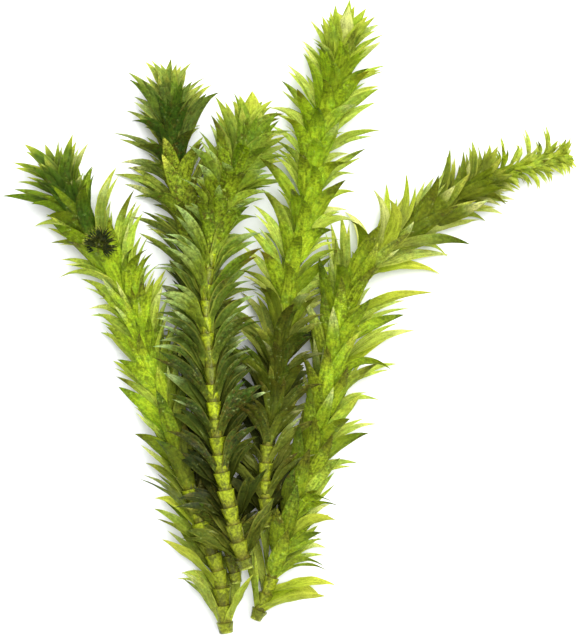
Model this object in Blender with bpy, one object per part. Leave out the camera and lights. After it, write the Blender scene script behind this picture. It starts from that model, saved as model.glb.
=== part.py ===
"""A loose bunch of Brazilian waterweed (Egeria densa): five cut leafy stems lying on a flat surface.

Each stem follows a smooth route along the surface and carries whorls of four or five strap leaves that
rise close to the stem and then bend outwards. A small side bud stands up from the left stem, and a thin
young shoot goes on from the head of the right stem. Every stem is one closed solid with its leaves grown
out of it.
"""

import bisect
import math
import random

import bmesh
import bpy
from mathutils import Matrix, Vector
from mathutils.bvhtree import BVHTree

# All sizes below are in millimetres, and MM turns them into Blender's metres.
MM = 0.001

# The bunch as it lies: +Y runs from the cut ends to the heads, and z = 0 is the surface that it lies on.
STEM_RADIUS = 1.85
NECK_RADIUS = 1.25
APEX_RADIUS = 0.6
NECK_SHARE = 0.8
CUT_MARGIN = 3.0
LEAVES_A_WHORL = 5
WHORL_TURN = math.radians(36)
WHORL_HEIGHT = 1.1
FOUR_LEAF_SHARE = 0.6
ROUTE_STEP = 0.5

# A leaf is a keeled blade with three corners at its middle and one at its tip. The keel is a share of the
# length.
LEAF_WIDTH = 4.2
LEAF_KEEL = 0.037
LEAF_KEEL_LEAST = 0.4
LEAF_MIDDLE = 0.6
LEAF_SIDES = ((0, 1), (1, 2), (2, 0))
SWEEP = 20

# How far a leaf's face turns up, from 0 to 1, and how thin a leaf that lies on the surface is there.
LEAST_FACE_UP = 0.45
MOST_FACE_UP = 0.65
FLAT_SHARE = 0.6
TIP_DROP = 0.15

# How far a leaf may move its tip to meet one that shows, and how much longer than its span an arched
# leaf is.
TIP_REACH = 8.0
LEAST_ARCH = 1.02
MOST_ARCH = 1.1

# Past this share of its stem, a leaf belongs to the head, which is broad, with wider leaves that fan out.
HEAD_SHARE = 0.84
HEAD_WIDER = 1.3

# How far every leaf keeps from the other leaves and from the other stems.
LEAF_GAP = 0.15
STEM_GAP = 0.35
OWN_ROOT_SHARE = 0.3

SEED = 26

# A stage of growth says, at a share of the way from the cut end to the tip, how far apart the whorls are,
# how long the leaves are, and how far they lean from the stem in their lower and upper halves.
STAGE_PARTS = ("share", "spacing", "length", "rise", "bend")
USUAL_GROWTH = (
    (0.00, 5.0, 17.0, 34, 60),
    (0.35, 4.9, 20.0, 24, 68),
    (0.70, 4.3, 20.5, 24, 72),
    (0.85, 3.2, 20.0, 24, 64),
    (0.93, 2.2, 16.5, 20, 42),
    (1.00, 1.5, 11.5, 12, 24),
)
LEFT_GROWTH = (
    (0.00, 5.0, 16.5, 32, 50),
    (0.30, 4.8, 20.0, 20, 44),
    (0.65, 4.5, 22.0, 20, 54),
    (0.84, 3.0, 21.0, 24, 60),
    (0.92, 2.0, 16.0, 26, 50),
    (1.00, 1.5, 11.0, 14, 30),
)
RIGHT_GROWTH = (
    (0.00, 5.0, 20.0, 40, 84),
    (0.12, 4.9, 18.0, 28, 56),
    (0.30, 4.6, 22.0, 24, 80),
    (0.60, 4.4, 25.0, 26, 80),
    (0.78, 3.8, 23.0, 24, 56),
    (0.92, 2.5, 18.0, 24, 50),
    (1.00, 1.8, 12.5, 22, 50),
)
SHOOT_GROWTH = (
    (0.00, 2.1, 7.5, 42, 90),
    (0.60, 1.9, 8.4, 40, 92),
    (0.90, 1.6, 7.6, 34, 72),
    (1.00, 1.4, 5.5, 20, 34),
)
BUD_GROWTH = (
    (0.00, 1.5, 5.5, 60, 80),
    (0.60, 1.3, 5.5, 48, 70),
    (1.00, 1.1, 4.0, 18, 24),
)

# The route of each stem's axis, from the cut end to the bud at the tip, which the last leaves reach 10 mm
# past; the tips of its leaves that show at the edges, seen from above; and how close the other leaves keep.
# A stretch of stem is bare of upper leaves between two shares of its length, over so many degrees to each
# side of up.
STEMS = {
    "centre_stem": {
        "route": (
            (-11.5, -69.2, 12.0), (-14.8, -58.0, 13.0), (-19.0, -38.4, 14.0), (-21.2, -16.0, 14.2),
            (-22.7, 0.6, 13.6), (-21.6, 16.5, 12.6), (-19.0, 30.8, 11.6), (-14.0, 42.8, 10.6),
            (-11.3, 53.5, 9.6),
        ),
        "tips": (
            (-13.5, 62.5), (-12, 61.5), (-10, 64), (-8.5, 63.5), (-5, 62.5), (-4, 61.5), (-20.5, 62.5),
            (-20.5, 59), (-21.5, 57), (-25, 53), (-19.5, 53), (-1, 57.5), (1, 53), (-0.5, 51), (1, 49.5),
            (0.5, 39), (-7, 20), (-31.5, 32), (-33.5, 22), (-33.5, 17), (-36, 7), (-37, 2), (-31, -3.5),
            (-31.5, -7),
            (-10.5, 23.5), (-8, 16), (-31.5, 32), (-36, 17.5), (-36, 1),
        ),
        "radii": (2.2, 1.25, 0.6),
        "bare": ((0.0, 0.2, 75), (0.2, 0.68, 42)),
    },
    "tall_stem": {
        "route": (
            (-5.9, -58.0, 8.0), (-6.4, -42.8, 8.6), (-4.2, -22.4, 9.0), (-1.1, 0.6, 9.0),
            (1.4, 15.1, 8.6), (5.3, 30.5, 8.0), (7.3, 45.4, 7.4), (12.0, 62.7, 7.0),
            (15.5, 79.8, 7.0),
        ),
        "tips": (
            (12, 89), (13.5, 87.5), (17, 87.5), (20.5, 85.5), (22, 86), (6, 85), (10.5, 85.5),
            (26, 83.5), (27.5, 81), (26, 77.5), (28.5, 72), (26, 69.5), (22.5, 68.5), (26, 66.5),
            (25.5, 64.5), (25, 61.5), (19, 59.5), (26, 53), (22, 48), (16, 38.5), (19, 35.5), (17.5, 31),
            (19, 27.5), (15, 22.5), (12, 17.5), (3.5, 79.5), (6.5, 78.5), (6, 74.5), (4, 73.5),
            (-0.5, 72.5), (-2, 67), (5, 70), (2.5, 63.5), (-5.5, 59.5), (-1, 55.5), (-1.5, 48.5),
            (-8, 45), (-7.5, 36.5), (-10, 32.5), (-12.5, 26), (-7.5, 19), (-13, 21), (-14, 14),
            (-10.5, 10), (-13.5, 8), (-18.5, 3.5), (-15.5, -0.5), (-17, -7),
        ),
        "close": (1.0, 0.95),
        "bare": ((0.0, 0.16, 60),),
    },
    "right_stem": {
        "route": (
            (-9.2, -84.6, 4.8), (-5.6, -75.6, 5.2), (-1.1, -61.3, 5.8), (3.9, -44.8, 6.0),
            (7.8, -31.6, 6.2), (11.5, -14.3, 6.4), (15.1, 2.8, 6.6), (19.3, 11.8, 6.6),
            (31.9, 23.2, 6.6), (40.9, 29.1, 6.6), (50.0, 36.4, 6.8), (55.0, 40.0, 7.0),
        ),
        "tips": (
            (23.5, 37), (27.5, 33.5), (16, 31), (16.5, 27.5), (28, 39), (33, 41.5), (14.5, 20.5),
            (13, 15), (41.5, 40), (45.5, 48.5), (47.5, 46.5), (49, 44), (61, 29.5), (56.5, 28), (61, 32),
            (51, 21), (46, 18.5), (46, 17), (43.5, 13), (40.5, 7.5), (34, 5.5), (38.5, 3.5), (32.5, 1.5),
            (36, -3), (31, -4), (31.5, -12.5), (29, -14), (26.5, -23), (26, -29.5), (22.5, -31.5),
            (17, -27), (20, -40.5), (12, -50), (12, -52.5), (13.5, -56), (9.5, -58.5), (11, -65),
            (10.5, -69), (13.5, -75), (10.5, -76.5), (9.5, -79),
        ),
        "close": (0.7, 0.4),
        "bare": ((0.0, 0.08, 60),),
        "growth": RIGHT_GROWTH,
    },
    "right_tip_shoot": {
        "route": (
            (56.2, 40.6, 7.0), (62.0, 42.4, 6.6), (67.8, 43.4, 5.6), (73.0, 45.4, 5.2), (77.3, 46.4, 5.0),
        ),
        "tips": (
            (50, 47.5), (55, 49.5), (60, 52.5), (59.5, 48.5), (64.5, 50), (67, 54.5), (70, 50.5),
            (72.5, 55), (76.5, 51.5), (65, 37), (68, 37), (70.5, 36.5), (74, 38.5), (78, 40.5),
            (80, 44.5), (79, 47), (77.5, 48),
        ),
        "radii": (1.0, 0.8, 0.35),
        "close": (0.9, 0.7),
        "growth": SHOOT_GROWTH,
        "leaf_size": 0.55,
    },
    "left_stem": {
        "route": (
            (-17.4, -88.3, 4.8), (-19.6, -71.4, 5.6), (-25.8, -53.2, 6.2), (-31.6, -33.6, 6.4),
            (-37.8, -14.6, 6.4), (-44.2, 3.6, 6.4), (-52.9, 20.2, 6.4), (-59.4, 30.2, 6.8),
            (-64.6, 40.0, 7.2),
        ),
        "tips": (
            (-78, 44.5), (-73.5, 49), (-69, 50), (-66.5, 52), (-64.5, 50.5), (-60, 52), (-56, 50),
            (-76, 38.5), (-80, 34.5), (-71, 32), (-72.5, 26.5), (-66.5, 28.5), (-66.5, 21.5),
            (-64.5, 17), (-60, 13), (-64.5, 11.5), (-57, 3), (-53.5, -3.5), (-50, -11.5), (-43.5, -12.5),
            (-47, -18.5), (-44, -22), (-42.5, -31.5), (-40.5, -40.5), (-41, -43), (-38, -50.5),
            (-38, -53), (-35.5, -61.5), (-30, -70.5), (-30.5, -72), (-27.5, -81), (-57, 41), (-55, 38),
            (-48.5, 43.5), (-49.5, 40), (-43, 36.5), (-41.5, 33), (-40.5, 30),
            (-38.5, 19.5), (-40, 11.5), (-39, 16),
        ),
        "close": (0.85, 0.75),
        "radii": (2.3, 1.25, 0.6),
        "bare": ((0.0, 0.3, 58),),
        "growth": LEFT_GROWTH,
    },
    "left_side_bud": {
        "route": ((-52.0, 21.2, 9.2), (-52.1, 21.0, 12.0), (-52.2, 20.8, 16.0)),
        "facing": (0, 1, 0),
        "radii": (0.9, 0.8, 0.35),
        "growth": BUD_GROWTH,
        "leaf_size": 0.55,
    },
    "dark_stem": {
        "route": (
            (-14.6, -74.2, 4.8), (-16.8, -63.0, 5.2), (-21.3, -36.4, 5.6), (-24.6, -8.4, 5.6),
            (-26.0, 14.0, 5.8), (-29.4, 32.8, 6.2), (-32.2, 47.0, 6.8), (-33.4, 63.0, 7.4),
        ),
        "tips": (
            (-45, 69.5), (-44.5, 67), (-44, 63.5), (-40.5, 73), (-38.5, 73), (-32.5, 73), (-27, 72.5),
            (-23, 68.5), (-21.5, 66.5), (-19, 63.5), (-21.5, 61.5), (-49.5, 52.5), (-47, 44),
            (-49.5, 41.5), (-46, 38), (-45, 29), (-42, 24.5), (-18.5, 54), (-17.5, 51), (-25, 55.5),
            (-41.5, 21), (-38.5, 13), (-38, -2),
        ),
    },
}

COLOURS = {
    "centre_stem": (0.42, 0.60, 0.08),
    "tall_stem": (0.36, 0.56, 0.07),
    "right_stem": (0.30, 0.50, 0.08),
    "right_tip_shoot": (0.40, 0.52, 0.10),
    "left_stem": (0.38, 0.58, 0.06),
    "left_side_bud": (0.12, 0.20, 0.06),
    "dark_stem": (0.16, 0.28, 0.08),
}

# What a leaf tries when it would touch another one: a turn about the stem in degrees, a share of its usual
# lean, and a share of its usual length.
LEAF_TRIES = [
    (turn, lean, length)
    for length in (1.0, 0.85, 0.7, 0.5)
    for lean in (1.0, 0.75, 1.25, 0.5)
    for turn in (0, 8, -8, 16, -16)
]


class Route:
    """A smooth line through the given points, read by the distance along it."""

    def __init__(self, points):
        self.samples = smooth_line([Vector(point) for point in points])
        self.reach = [0.0]
        for before, after in zip(self.samples, self.samples[1:]):
            self.reach.append(self.reach[-1] + (after - before).length)
        self.length = self.reach[-1]

    def point(self, distance):
        """The point that far from the cut end; the line goes on straight past its ends."""
        index = min(max(bisect.bisect_right(self.reach, distance), 1), len(self.reach) - 1)
        start, end = self.reach[index - 1], self.reach[index]
        return self.samples[index - 1].lerp(self.samples[index], (distance - start) / (end - start))

    def along(self, distance):
        """The way the stem grows there."""
        return (self.point(distance + ROUTE_STEP) - self.point(distance - ROUTE_STEP)).normalized()


def smooth_line(points):
    """Points every ROUTE_STEP or so on the Catmull-Rom curve through the given ones."""
    padded = [points[0] * 2 - points[1], *points, points[-1] * 2 - points[-2]]
    line = []
    for p0, p1, p2, p3 in zip(padded, padded[1:], padded[2:], padded[3:]):
        steps = max(2, round((p2 - p1).length / ROUTE_STEP))
        for step in range(steps):
            t = step / steps
            line.append(
                0.5 * (2 * p1 + (p2 - p0) * t + (2 * p0 - 5 * p1 + 4 * p2 - p3) * t**2
                       + (3 * p1 - p0 - 3 * p2 + p3) * t**3)
            )
    return [*line, points[-1]]


def staged(growth, share):
    """The values of the growth stages, mixed for that share of the stem's length."""
    for before, after in zip(growth, growth[1:]):
        if share <= after[0]:
            mix = (share - before[0]) / (after[0] - before[0])
            return dict(zip(STAGE_PARTS, (a + (b - a) * mix for a, b in zip(before, after))))
    return dict(zip(STAGE_PARTS, growth[-1]))


class Stem:
    """A stem's route and habit, its whorls, and what has to be known to place their leaves."""

    def __init__(self, name, values):
        self.name = name
        self.route = Route(values["route"])
        self.facing = Vector(values.get("facing", (0, 0, 1)))
        self.radii = values.get("radii", (STEM_RADIUS, NECK_RADIUS, APEX_RADIUS))
        self.growth = values.get("growth", USUAL_GROWTH)
        self.leaf_size = values.get("leaf_size", 1.0)
        self.bare = values.get("bare", ())
        self.close = values.get("close", (1, 1))
        self.random = random.Random(f"{SEED} {name}")
        self.first_azimuth = self.random.uniform(0, math.tau)
        self.whorls = list(self.planned_whorls())
        self.meet_tips(values.get("tips", ()))

    def radius(self, distance):
        share = min(max(distance / self.route.length, 0), 1)
        lower, neck, apex = self.radii
        if share < NECK_SHARE:
            return lower + (neck - lower) * (share / NECK_SHARE) ** 2
        return neck + (apex - neck) * (share - NECK_SHARE) / (1 - NECK_SHARE)

    def around(self, distance, azimuth):
        """The way out from the stem at that azimuth: 0 is to its right as it grows, 90 degrees is up."""
        along = self.route.along(distance)
        up = (self.facing - along * self.facing.dot(along)).normalized()
        right = along.cross(up)
        return right * math.cos(azimuth) + up * math.sin(azimuth)

    def rim(self, distance, azimuth):
        return self.route.point(distance) + self.around(distance, azimuth) * self.radius(distance)

    def is_bare(self, distance, azimuth):
        """Whether the leaf there is one of those that are missing from the stem's upper side."""
        share = distance / self.route.length
        return any(
            start < share < end and math.sin(azimuth) > math.cos(math.radians(half_angle))
            for start, end, half_angle in self.bare
        )

    def planned_whorls(self):
        """The whorls from the cut end to the tip: each turns on from the one below by half a leaf."""
        azimuth = self.first_azimuth
        distance = CUT_MARGIN * self.leaf_size
        while distance < self.route.length - WHORL_HEIGHT * self.leaf_size:
            yield Whorl(self, distance, azimuth)
            azimuth += WHORL_TURN
            distance += staged(self.growth, distance / self.route.length)["spacing"]

    def leaves(self):
        return [leaf for whorl in self.whorls for leaf in whorl.leaves.values()]

    def meet_tips(self, tips):
        """Gives each of the tips that show in the bunch to the leaf whose own tip is nearest to it.

        The other leaves below the head keep closer to the stem.
        """
        natural = {leaf: leaf.shape(LEAF_TRIES[0])[-1].to_2d() for leaf in self.leaves()}
        for tip in map(Vector, tips):
            free = [leaf for leaf in natural if leaf.target is None]
            nearest = min(free, key=lambda leaf: (natural[leaf] - tip).length)
            if (natural[nearest] - tip).length < TIP_REACH:
                nearest.target = tip
        close_rise, close_bend = self.close
        for leaf in natural:
            if leaf.target is None and not leaf.in_head:
                leaf.rise *= close_rise
                leaf.bend *= close_bend


class Whorl:
    """A ring of leaves at a node of the stem, in which each corner of the section may carry one."""

    def __init__(self, stem, distance, azimuth):
        self.lower = distance - WHORL_HEIGHT * stem.leaf_size / 2
        self.upper = distance + WHORL_HEIGHT * stem.leaf_size / 2
        self.azimuth = azimuth
        azimuths = [azimuth + math.tau / LEAVES_A_WHORL * corner for corner in range(LEAVES_A_WHORL)]
        spare = min(range(LEAVES_A_WHORL), key=lambda corner: math.sin(azimuths[corner]))
        four = stem.random.random() < FOUR_LEAF_SHARE
        self.leaves = {
            corner: Leaf(stem, distance, leaf_azimuth)
            for corner, leaf_azimuth in enumerate(azimuths)
            if not (four and corner == spare) and not stem.is_bare(distance, leaf_azimuth)
        }


class Leaf:
    """A leaf with its own habit. Its root is a triangle of the whorl. Placing it gives it its corners."""

    def __init__(self, stem, distance, azimuth):
        self.stem = stem
        self.distance = distance
        self.azimuth = azimuth
        self.share = distance / stem.route.length
        stage = staged(stem.growth, self.share)
        vary = stem.random.uniform
        self.length = stage["length"] * vary(0.9, 1.08)
        self.rise = stage["rise"] + vary(-5, 5)
        self.bend = stage["bend"] + vary(-12, 12)
        self.sweep = vary(-SWEEP, SWEEP)
        self.width = LEAF_WIDTH * stem.leaf_size * vary(0.9, 1.05)
        self.in_head = self.share > HEAD_SHARE
        if self.in_head:
            self.width *= HEAD_WIDER
        self.face_up = vary(LEAST_FACE_UP, MOST_FACE_UP)
        self.thickness = max(LEAF_KEEL * self.length, LEAF_KEEL_LEAST)
        self.target = None
        self.corners = None
        across = stem.route.along(distance).cross(stem.around(distance, azimuth))
        upper = distance + WHORL_HEIGHT * stem.leaf_size / 2
        lower = distance - WHORL_HEIGHT * stem.leaf_size / 2
        sides = [stem.rim(upper, azimuth + turn) for turn in (-WHORL_TURN, WHORL_TURN)]
        sides.sort(key=lambda point: point.dot(across))
        self.root = [*sides, stem.rim(lower, azimuth)]

    def shape(self, tries):
        """The leaf's corners past its root: its left and right edges, its keel and its tip.

        The tries say how it gives way to its neighbours. A leaf that would pass through the surface lies
        along it instead, and one that has a target ends there.
        """
        turn, lean, shortened = tries
        turn = math.radians(turn)
        along = self.stem.route.along(self.distance)
        out = self.stem.around(self.distance, self.azimuth + turn)
        across = along.cross(out).normalized()
        root = self.stem.rim(self.distance, self.azimuth)
        bent_out = self.stem.around(self.distance, self.azimuth + turn + math.radians(self.sweep))
        lower = leaning(along, out, self.rise * lean)
        upper = leaning(along, bent_out, self.bend * lean)
        middle = laid(root, lower, self.length * shortened * LEAF_MIDDLE)
        tip = laid(middle, upper, self.length * shortened * (1 - LEAF_MIDDLE))
        if self.target and shortened == 1:
            tip.xy = self.target
            middle = arched(root, tip, self.length, along)
        way = (tip - root).normalized()
        across = faced_up(across, way, self.face_up)
        below = way.cross(across).normalized()
        if below.dot(out) < 0:
            below.negate()
        keel = middle + below * self.thickness
        side = across * self.width * (1 + shortened) / 4
        corners = [middle - side, middle + side, keel, tip]
        for corner in corners:
            corner.z = max(corner.z, 0)
        if keel.z < middle.z < self.thickness * FLAT_SHARE:
            for corner in corners[:2]:
                corner.z += self.thickness * FLAT_SHARE
        return corners


def leaning(along, out, angle):
    """The way that leans that many degrees from along towards out."""
    angle = math.radians(angle)
    return along * math.cos(angle) + out * math.sin(angle)


def arched(root, tip, length, along):
    """The middle of a leaf that arches from its root to its tip, hollow towards the stem's cut end."""
    span = (tip - root).length
    length = min(max(length, span * LEAST_ARCH), span * MOST_ARCH)
    lower, upper = length * LEAF_MIDDLE, length * (1 - LEAF_MIDDLE)
    reach = (lower**2 - upper**2 + span**2) / (2 * span)
    way = (tip - root) / span
    rise = (along - way * along.dot(way)).normalized()
    middle = root + way * reach + rise * math.sqrt(max(lower**2 - reach**2, 0))
    middle.z = max(middle.z, TIP_DROP)
    return middle


def faced_up(across, way, share):
    """The way across a leaf's blade once its face has turned up by that share, as in a loose bunch."""
    level = Vector((0, 0, 1)).cross(way)
    if level.dot(across) < 0:
        level.negate()
    turned = across.lerp(level, share)
    return (turned - way * turned.dot(way)).normalized()


def laid(start, way, length):
    """The end of a straight stretch of leaf from start, laid along the surface where it would sink in."""
    end = start + way * length
    if end.z >= TIP_DROP:
        return end
    level = Vector((way.x, way.y, 0))
    drop = start.z - TIP_DROP
    run = math.sqrt(max(length**2 - drop**2, 0))
    return Vector((start.x, start.y, TIP_DROP)) + level.normalized() * run


def leaf_ridges(root, corners):
    """The ridge on each side of a leaf's lower half, from a corner at the root to one at the middle.

    The ridges turn the way that the leaf twists, so that it doesn't pass through itself.
    """
    left, right, _, tip = corners
    way = tip - sum(root, Vector()) / 3
    twist = (root[1] - root[0]).cross(right - left).dot(way)
    return LEAF_SIDES if twist > 0 else [(b, a) for a, b in LEAF_SIDES]


def leaf_tree(root, corners, gap, root_share):
    """A leaf as a tree for finding what it touches, thicker all round by the gap.

    It starts at that share of its lower half, because a leaf shares its root's corners with its neighbours.
    """
    left, right, keel, tip = corners
    middle = (left + right) / 2
    across = (right - left).normalized()
    way = (tip - sum(root, Vector()) / 3).normalized()
    below = (keel - middle).normalized()
    wide = [
        left - across * gap - below * gap,
        right + across * gap - below * gap,
        keel + below * gap,
    ]
    start = [near.lerp(far, root_share) for near, far in zip(root, wide)]
    points = [*start, *wide, tip + way * gap]
    faces = [(0, 1, 2)]
    for a, b in leaf_ridges(root, corners):
        faces += [(a, b, b + 3), (a, b + 3, a + 3), (a + 3, b + 3, 6)]
    return BVHTree.FromPolygons(points, faces)


class PlacedLeaf:
    """A leaf that is being placed, as trees for its own stem's leaves and for those of the others."""

    def __init__(self, leaf, corners, gap):
        self.name = leaf.stem.name
        self.whole = leaf_tree(leaf.root, corners, gap, 0)
        self.free = leaf_tree(leaf.root, corners, gap, OWN_ROOT_SHARE)
        left, right, _, tip = corners
        self.middle = (left + right) / 2
        self.reach = (tip - self.middle).length + LEAF_WIDTH

    def touches(self, other):
        if (self.middle - other.middle).length > self.reach + other.reach:
            return False
        if self.name == other.name:
            return bool(self.free.overlap(other.free))
        return bool(self.whole.overlap(other.whole))


def stem_tree(stem):
    """A stem's bare length as a closed six-sided tree for finding what touches it, thicker by the gap."""
    points, faces = [], []
    count = round(stem.route.length / 2)
    for index in range(count + 1):
        distance = (stem.route.length + 2 * STEM_GAP) * index / count - STEM_GAP
        centre = stem.route.point(distance)
        for corner in range(6):
            way = stem.around(distance, math.radians(60 * corner))
            points.append(centre + way * (stem.radius(distance) + STEM_GAP))
    for index in range(count):
        for corner in range(6):
            a, b = index * 6 + corner, index * 6 + (corner + 1) % 6
            faces.append((a, b, b + 6, a + 6))
    faces.append(tuple(range(6)))
    faces.append(tuple(range(count * 6, count * 6 + 6)))
    return BVHTree.FromPolygons(points, faces)


def place_leaves(stems):
    """Places every leaf so that it touches nothing, and drops those for which there is no room."""
    trees = {stem.name: stem_tree(stem) for stem in stems}
    placed = []
    for stem in stems:
        others = [tree for name, tree in trees.items() if name != stem.name]
        for leaf in sorted(stem.leaves(), key=lambda leaf: leaf.target is None):
            for tries in LEAF_TRIES:
                corners = leaf.shape(tries)
                trial = PlacedLeaf(leaf, corners, LEAF_GAP)
                if not (any(map(trial.whole.overlap, others)) or any(map(trial.touches, placed))):
                    leaf.corners = corners
                    placed.append(PlacedLeaf(leaf, corners, 0))
                    break
        for whorl in stem.whorls:
            whorl.leaves = {corner: leaf for corner, leaf in whorl.leaves.items() if leaf.corners}


def ring_corners(stem, distance, start):
    """The corners of the stem's five-sided section there, with the first one at the start azimuth."""
    step = math.tau / LEAVES_A_WHORL
    return [stem.rim(distance, start + step * corner) for corner in range(LEAVES_A_WHORL)]


def next_ring(bm, ring, corners):
    """Extrudes the ring of vertices and puts the new ring's vertices on the corners."""
    edges = [bm.edges.get((a, b)) for a, b in zip(ring, ring[1:] + ring[:1])]
    made = bmesh.ops.extrude_edge_only(bm, edges=edges)["geom"]
    new = [item for item in made if isinstance(item, bmesh.types.BMVert)]
    above = {}
    for vertex in new:
        for edge in vertex.link_edges:
            other = edge.other_vert(vertex)
            if other in ring:
                above[other] = vertex
    new_ring = [above[vertex] for vertex in ring]
    for vertex, corner in zip(new_ring, corners):
        vertex.co = corner
    return new_ring


def grow_leaf(bm, root, leaf):
    """Grows the leaf from the triangle of the whorl between these three vertices."""
    root.sort(key=lambda vertex: nearest_to(vertex.co, leaf.root))
    section = bmesh.ops.extrude_discrete_faces(bm, faces=[face_with(*root)])["faces"][0]
    *wide, tip = leaf.corners
    corners = sorted(section.verts, key=lambda vertex: nearest_to(vertex.co, leaf.root))
    for vertex, corner in zip(corners, wide):
        vertex.co = corner
    for lower, upper in leaf_ridges(leaf.root, leaf.corners):
        bmesh.ops.connect_verts(bm, verts=[root[lower], corners[upper]])
    point = bmesh.ops.poke(bm, faces=[section])["verts"][0]
    point.co = tip


def nearest_to(place, points):
    """The index of the point that is nearest to the place."""
    return min(range(len(points)), key=lambda index: (points[index] - place).length)


def grow(stem):
    """The stem's mesh: rings from the cut end to the tip, with a leaf from each triangle of every whorl."""
    bm = bmesh.new()
    ring = bmesh.ops.create_circle(bm, cap_ends=True, segments=LEAVES_A_WHORL, radius=1)["verts"]
    for vertex, corner in zip(ring, ring_corners(stem, 0, stem.first_azimuth)):
        vertex.co = corner
    for whorl in stem.whorls:
        lower = next_ring(bm, ring, ring_corners(stem, whorl.lower, whorl.azimuth))
        ring = next_ring(bm, lower, ring_corners(stem, whorl.upper, whorl.azimuth + WHORL_TURN))
        before = lower[-1:] + lower
        band = [face_with(*corners) for corners in zip(before, lower, ring)]
        bmesh.ops.triangulate(bm, faces=band, quad_method="SHORT_EDGE")
        for corner, leaf in whorl.leaves.items():
            grow_leaf(bm, [ring[corner - 1], ring[corner], lower[corner]], leaf)
    edges = [bm.edges.get((a, b)) for a, b in zip(ring, ring[1:] + ring[:1])]
    last = bmesh.ops.contextual_create(bm, geom=edges)["faces"]
    point = bmesh.ops.poke(bm, faces=last)["verts"][0]
    point.co = stem.route.point(stem.route.length)
    bmesh.ops.recalc_face_normals(bm, faces=bm.faces)
    return bm


def face_with(*vertices):
    """The face that has all these vertices among its corners."""
    return next(face for face in vertices[0].link_faces if set(vertices) <= set(face.verts))


def plant_material(name, colour):
    material = bpy.data.materials.new(name)
    material.use_nodes = True
    shader = material.node_tree.nodes["Principled BSDF"]
    shader.inputs["Base Color"].default_value = (*colour, 1)
    shader.inputs["Roughness"].default_value = 0.4
    shader.inputs["Metallic"].default_value = 0
    return material


def clear_scene():
    for obj in list(bpy.data.objects):
        bpy.data.objects.remove(obj)


def centred(meshes):
    """The shift that puts the middle of the bunch's base on the origin."""
    corners = [vertex.co for bm in meshes.values() for vertex in bm.verts]
    low = Vector(min(corner[axis] for corner in corners) for axis in range(3))
    high = Vector(max(corner[axis] for corner in corners) for axis in range(3))
    return Vector((-(low.x + high.x) / 2, -(low.y + high.y) / 2, -low.z))


def main():
    clear_scene()
    collection = bpy.data.collections.new("brazilian_waterweed")
    bpy.context.scene.collection.children.link(collection)
    stems = [Stem(name, values) for name, values in STEMS.items()]
    place_leaves(stems)
    meshes = {stem: grow(stem) for stem in stems}
    place = Matrix.Scale(MM, 4) @ Matrix.Translation(centred(meshes))
    for stem, bm in meshes.items():
        bmesh.ops.transform(bm, matrix=place, verts=bm.verts)
        mesh = bpy.data.meshes.new(stem.name)
        bm.to_mesh(mesh)
        bm.free()
        mesh.materials.append(plant_material(f"{stem.name}_green", COLOURS[stem.name]))
        collection.objects.link(bpy.data.objects.new(stem.name, mesh))


main()
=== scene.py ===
"""The looks of a loose bunch of Brazilian waterweed: thin wet leaves on cut stems, seen from above.

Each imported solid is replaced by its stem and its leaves. The leaves are placed by the same rule as
the solid's keeled ones, so that every thin blade lies along one of them. Where leaves are crowded or
close a gap, several narrow blades lie along the same solid leaf.
"""

import bisect
import math
import random

import bmesh
import bpy
from mathutils import Matrix, Vector
from mathutils.bvhtree import BVHTree


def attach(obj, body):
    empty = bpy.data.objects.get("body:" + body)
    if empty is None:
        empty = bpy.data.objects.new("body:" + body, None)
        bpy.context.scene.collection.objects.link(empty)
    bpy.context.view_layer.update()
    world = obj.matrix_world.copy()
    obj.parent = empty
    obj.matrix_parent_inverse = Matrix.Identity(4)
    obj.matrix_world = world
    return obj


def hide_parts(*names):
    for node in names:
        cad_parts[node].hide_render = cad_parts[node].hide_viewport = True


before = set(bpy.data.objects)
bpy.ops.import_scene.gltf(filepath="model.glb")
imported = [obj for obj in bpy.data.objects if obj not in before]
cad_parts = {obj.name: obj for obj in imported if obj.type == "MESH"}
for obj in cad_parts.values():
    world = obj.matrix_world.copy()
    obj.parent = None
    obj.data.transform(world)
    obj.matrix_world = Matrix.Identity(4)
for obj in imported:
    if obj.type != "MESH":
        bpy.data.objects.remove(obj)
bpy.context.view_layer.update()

MM = 0.001

# The bunch as it lies, in mm: +Y runs from the cut ends to the heads, and z = 0 is the surface that
# it lies on.
STEM_RADIUS = 1.85
NECK_RADIUS = 1.25
APEX_RADIUS = 0.6
NECK_SHARE = 0.8
CUT_MARGIN = 3.0
LEAVES_A_WHORL = 5
WHORL_TURN = math.radians(36)
WHORL_HEIGHT = 1.1
FOUR_LEAF_SHARE = 0.6
ROUTE_STEP = 0.5

# A leaf is placed as the solid's keeled blade, with three corners at its middle and one at its tip.
# The keel is a share of the length. Single leaves stray from their stem's usual width, length and
# lean.
LEAF_WIDTH = 4.2
WIDTH_VARIES = (0.9, 1.05)
LENGTH_VARIES = (0.9, 1.08)
RISE_STRAYS = 5
BEND_STRAYS = 12
LEAF_KEEL = 0.037
LEAF_KEEL_LEAST = 0.4
LEAF_MIDDLE = 0.6
LEAF_SIDES = ((0, 1), (1, 2), (2, 0))
SWEEP = 20

# How far a leaf's face turns up, from 0 to 1, and how thin a leaf that lies on the surface is
# there.
LEAST_FACE_UP = 0.45
MOST_FACE_UP = 0.65
FLAT_SHARE = 0.6
TIP_DROP = 0.15

# How far a leaf may move its tip to meet one that shows, and how much longer than its span an
# arched leaf is.
TIP_REACH = 8.0
LEAST_ARCH = 1.02
MOST_ARCH = 1.1

# Past this share of its stem, a leaf belongs to the head, which is broad, with wider leaves that
# fan out.
HEAD_SHARE = 0.84
HEAD_WIDER = 1.3

# How far every leaf keeps from the other leaves and from the other stems, how much of its root is
# left out where it meets the leaves of its own stem, and how finely the stems are followed for
# that.
LEAF_GAP = 0.15
STEM_GAP = 0.35
OWN_ROOT_SHARE = 0.3
TREE_SIDES = 6
TREE_STEP = 2

SEED = 26

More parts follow.
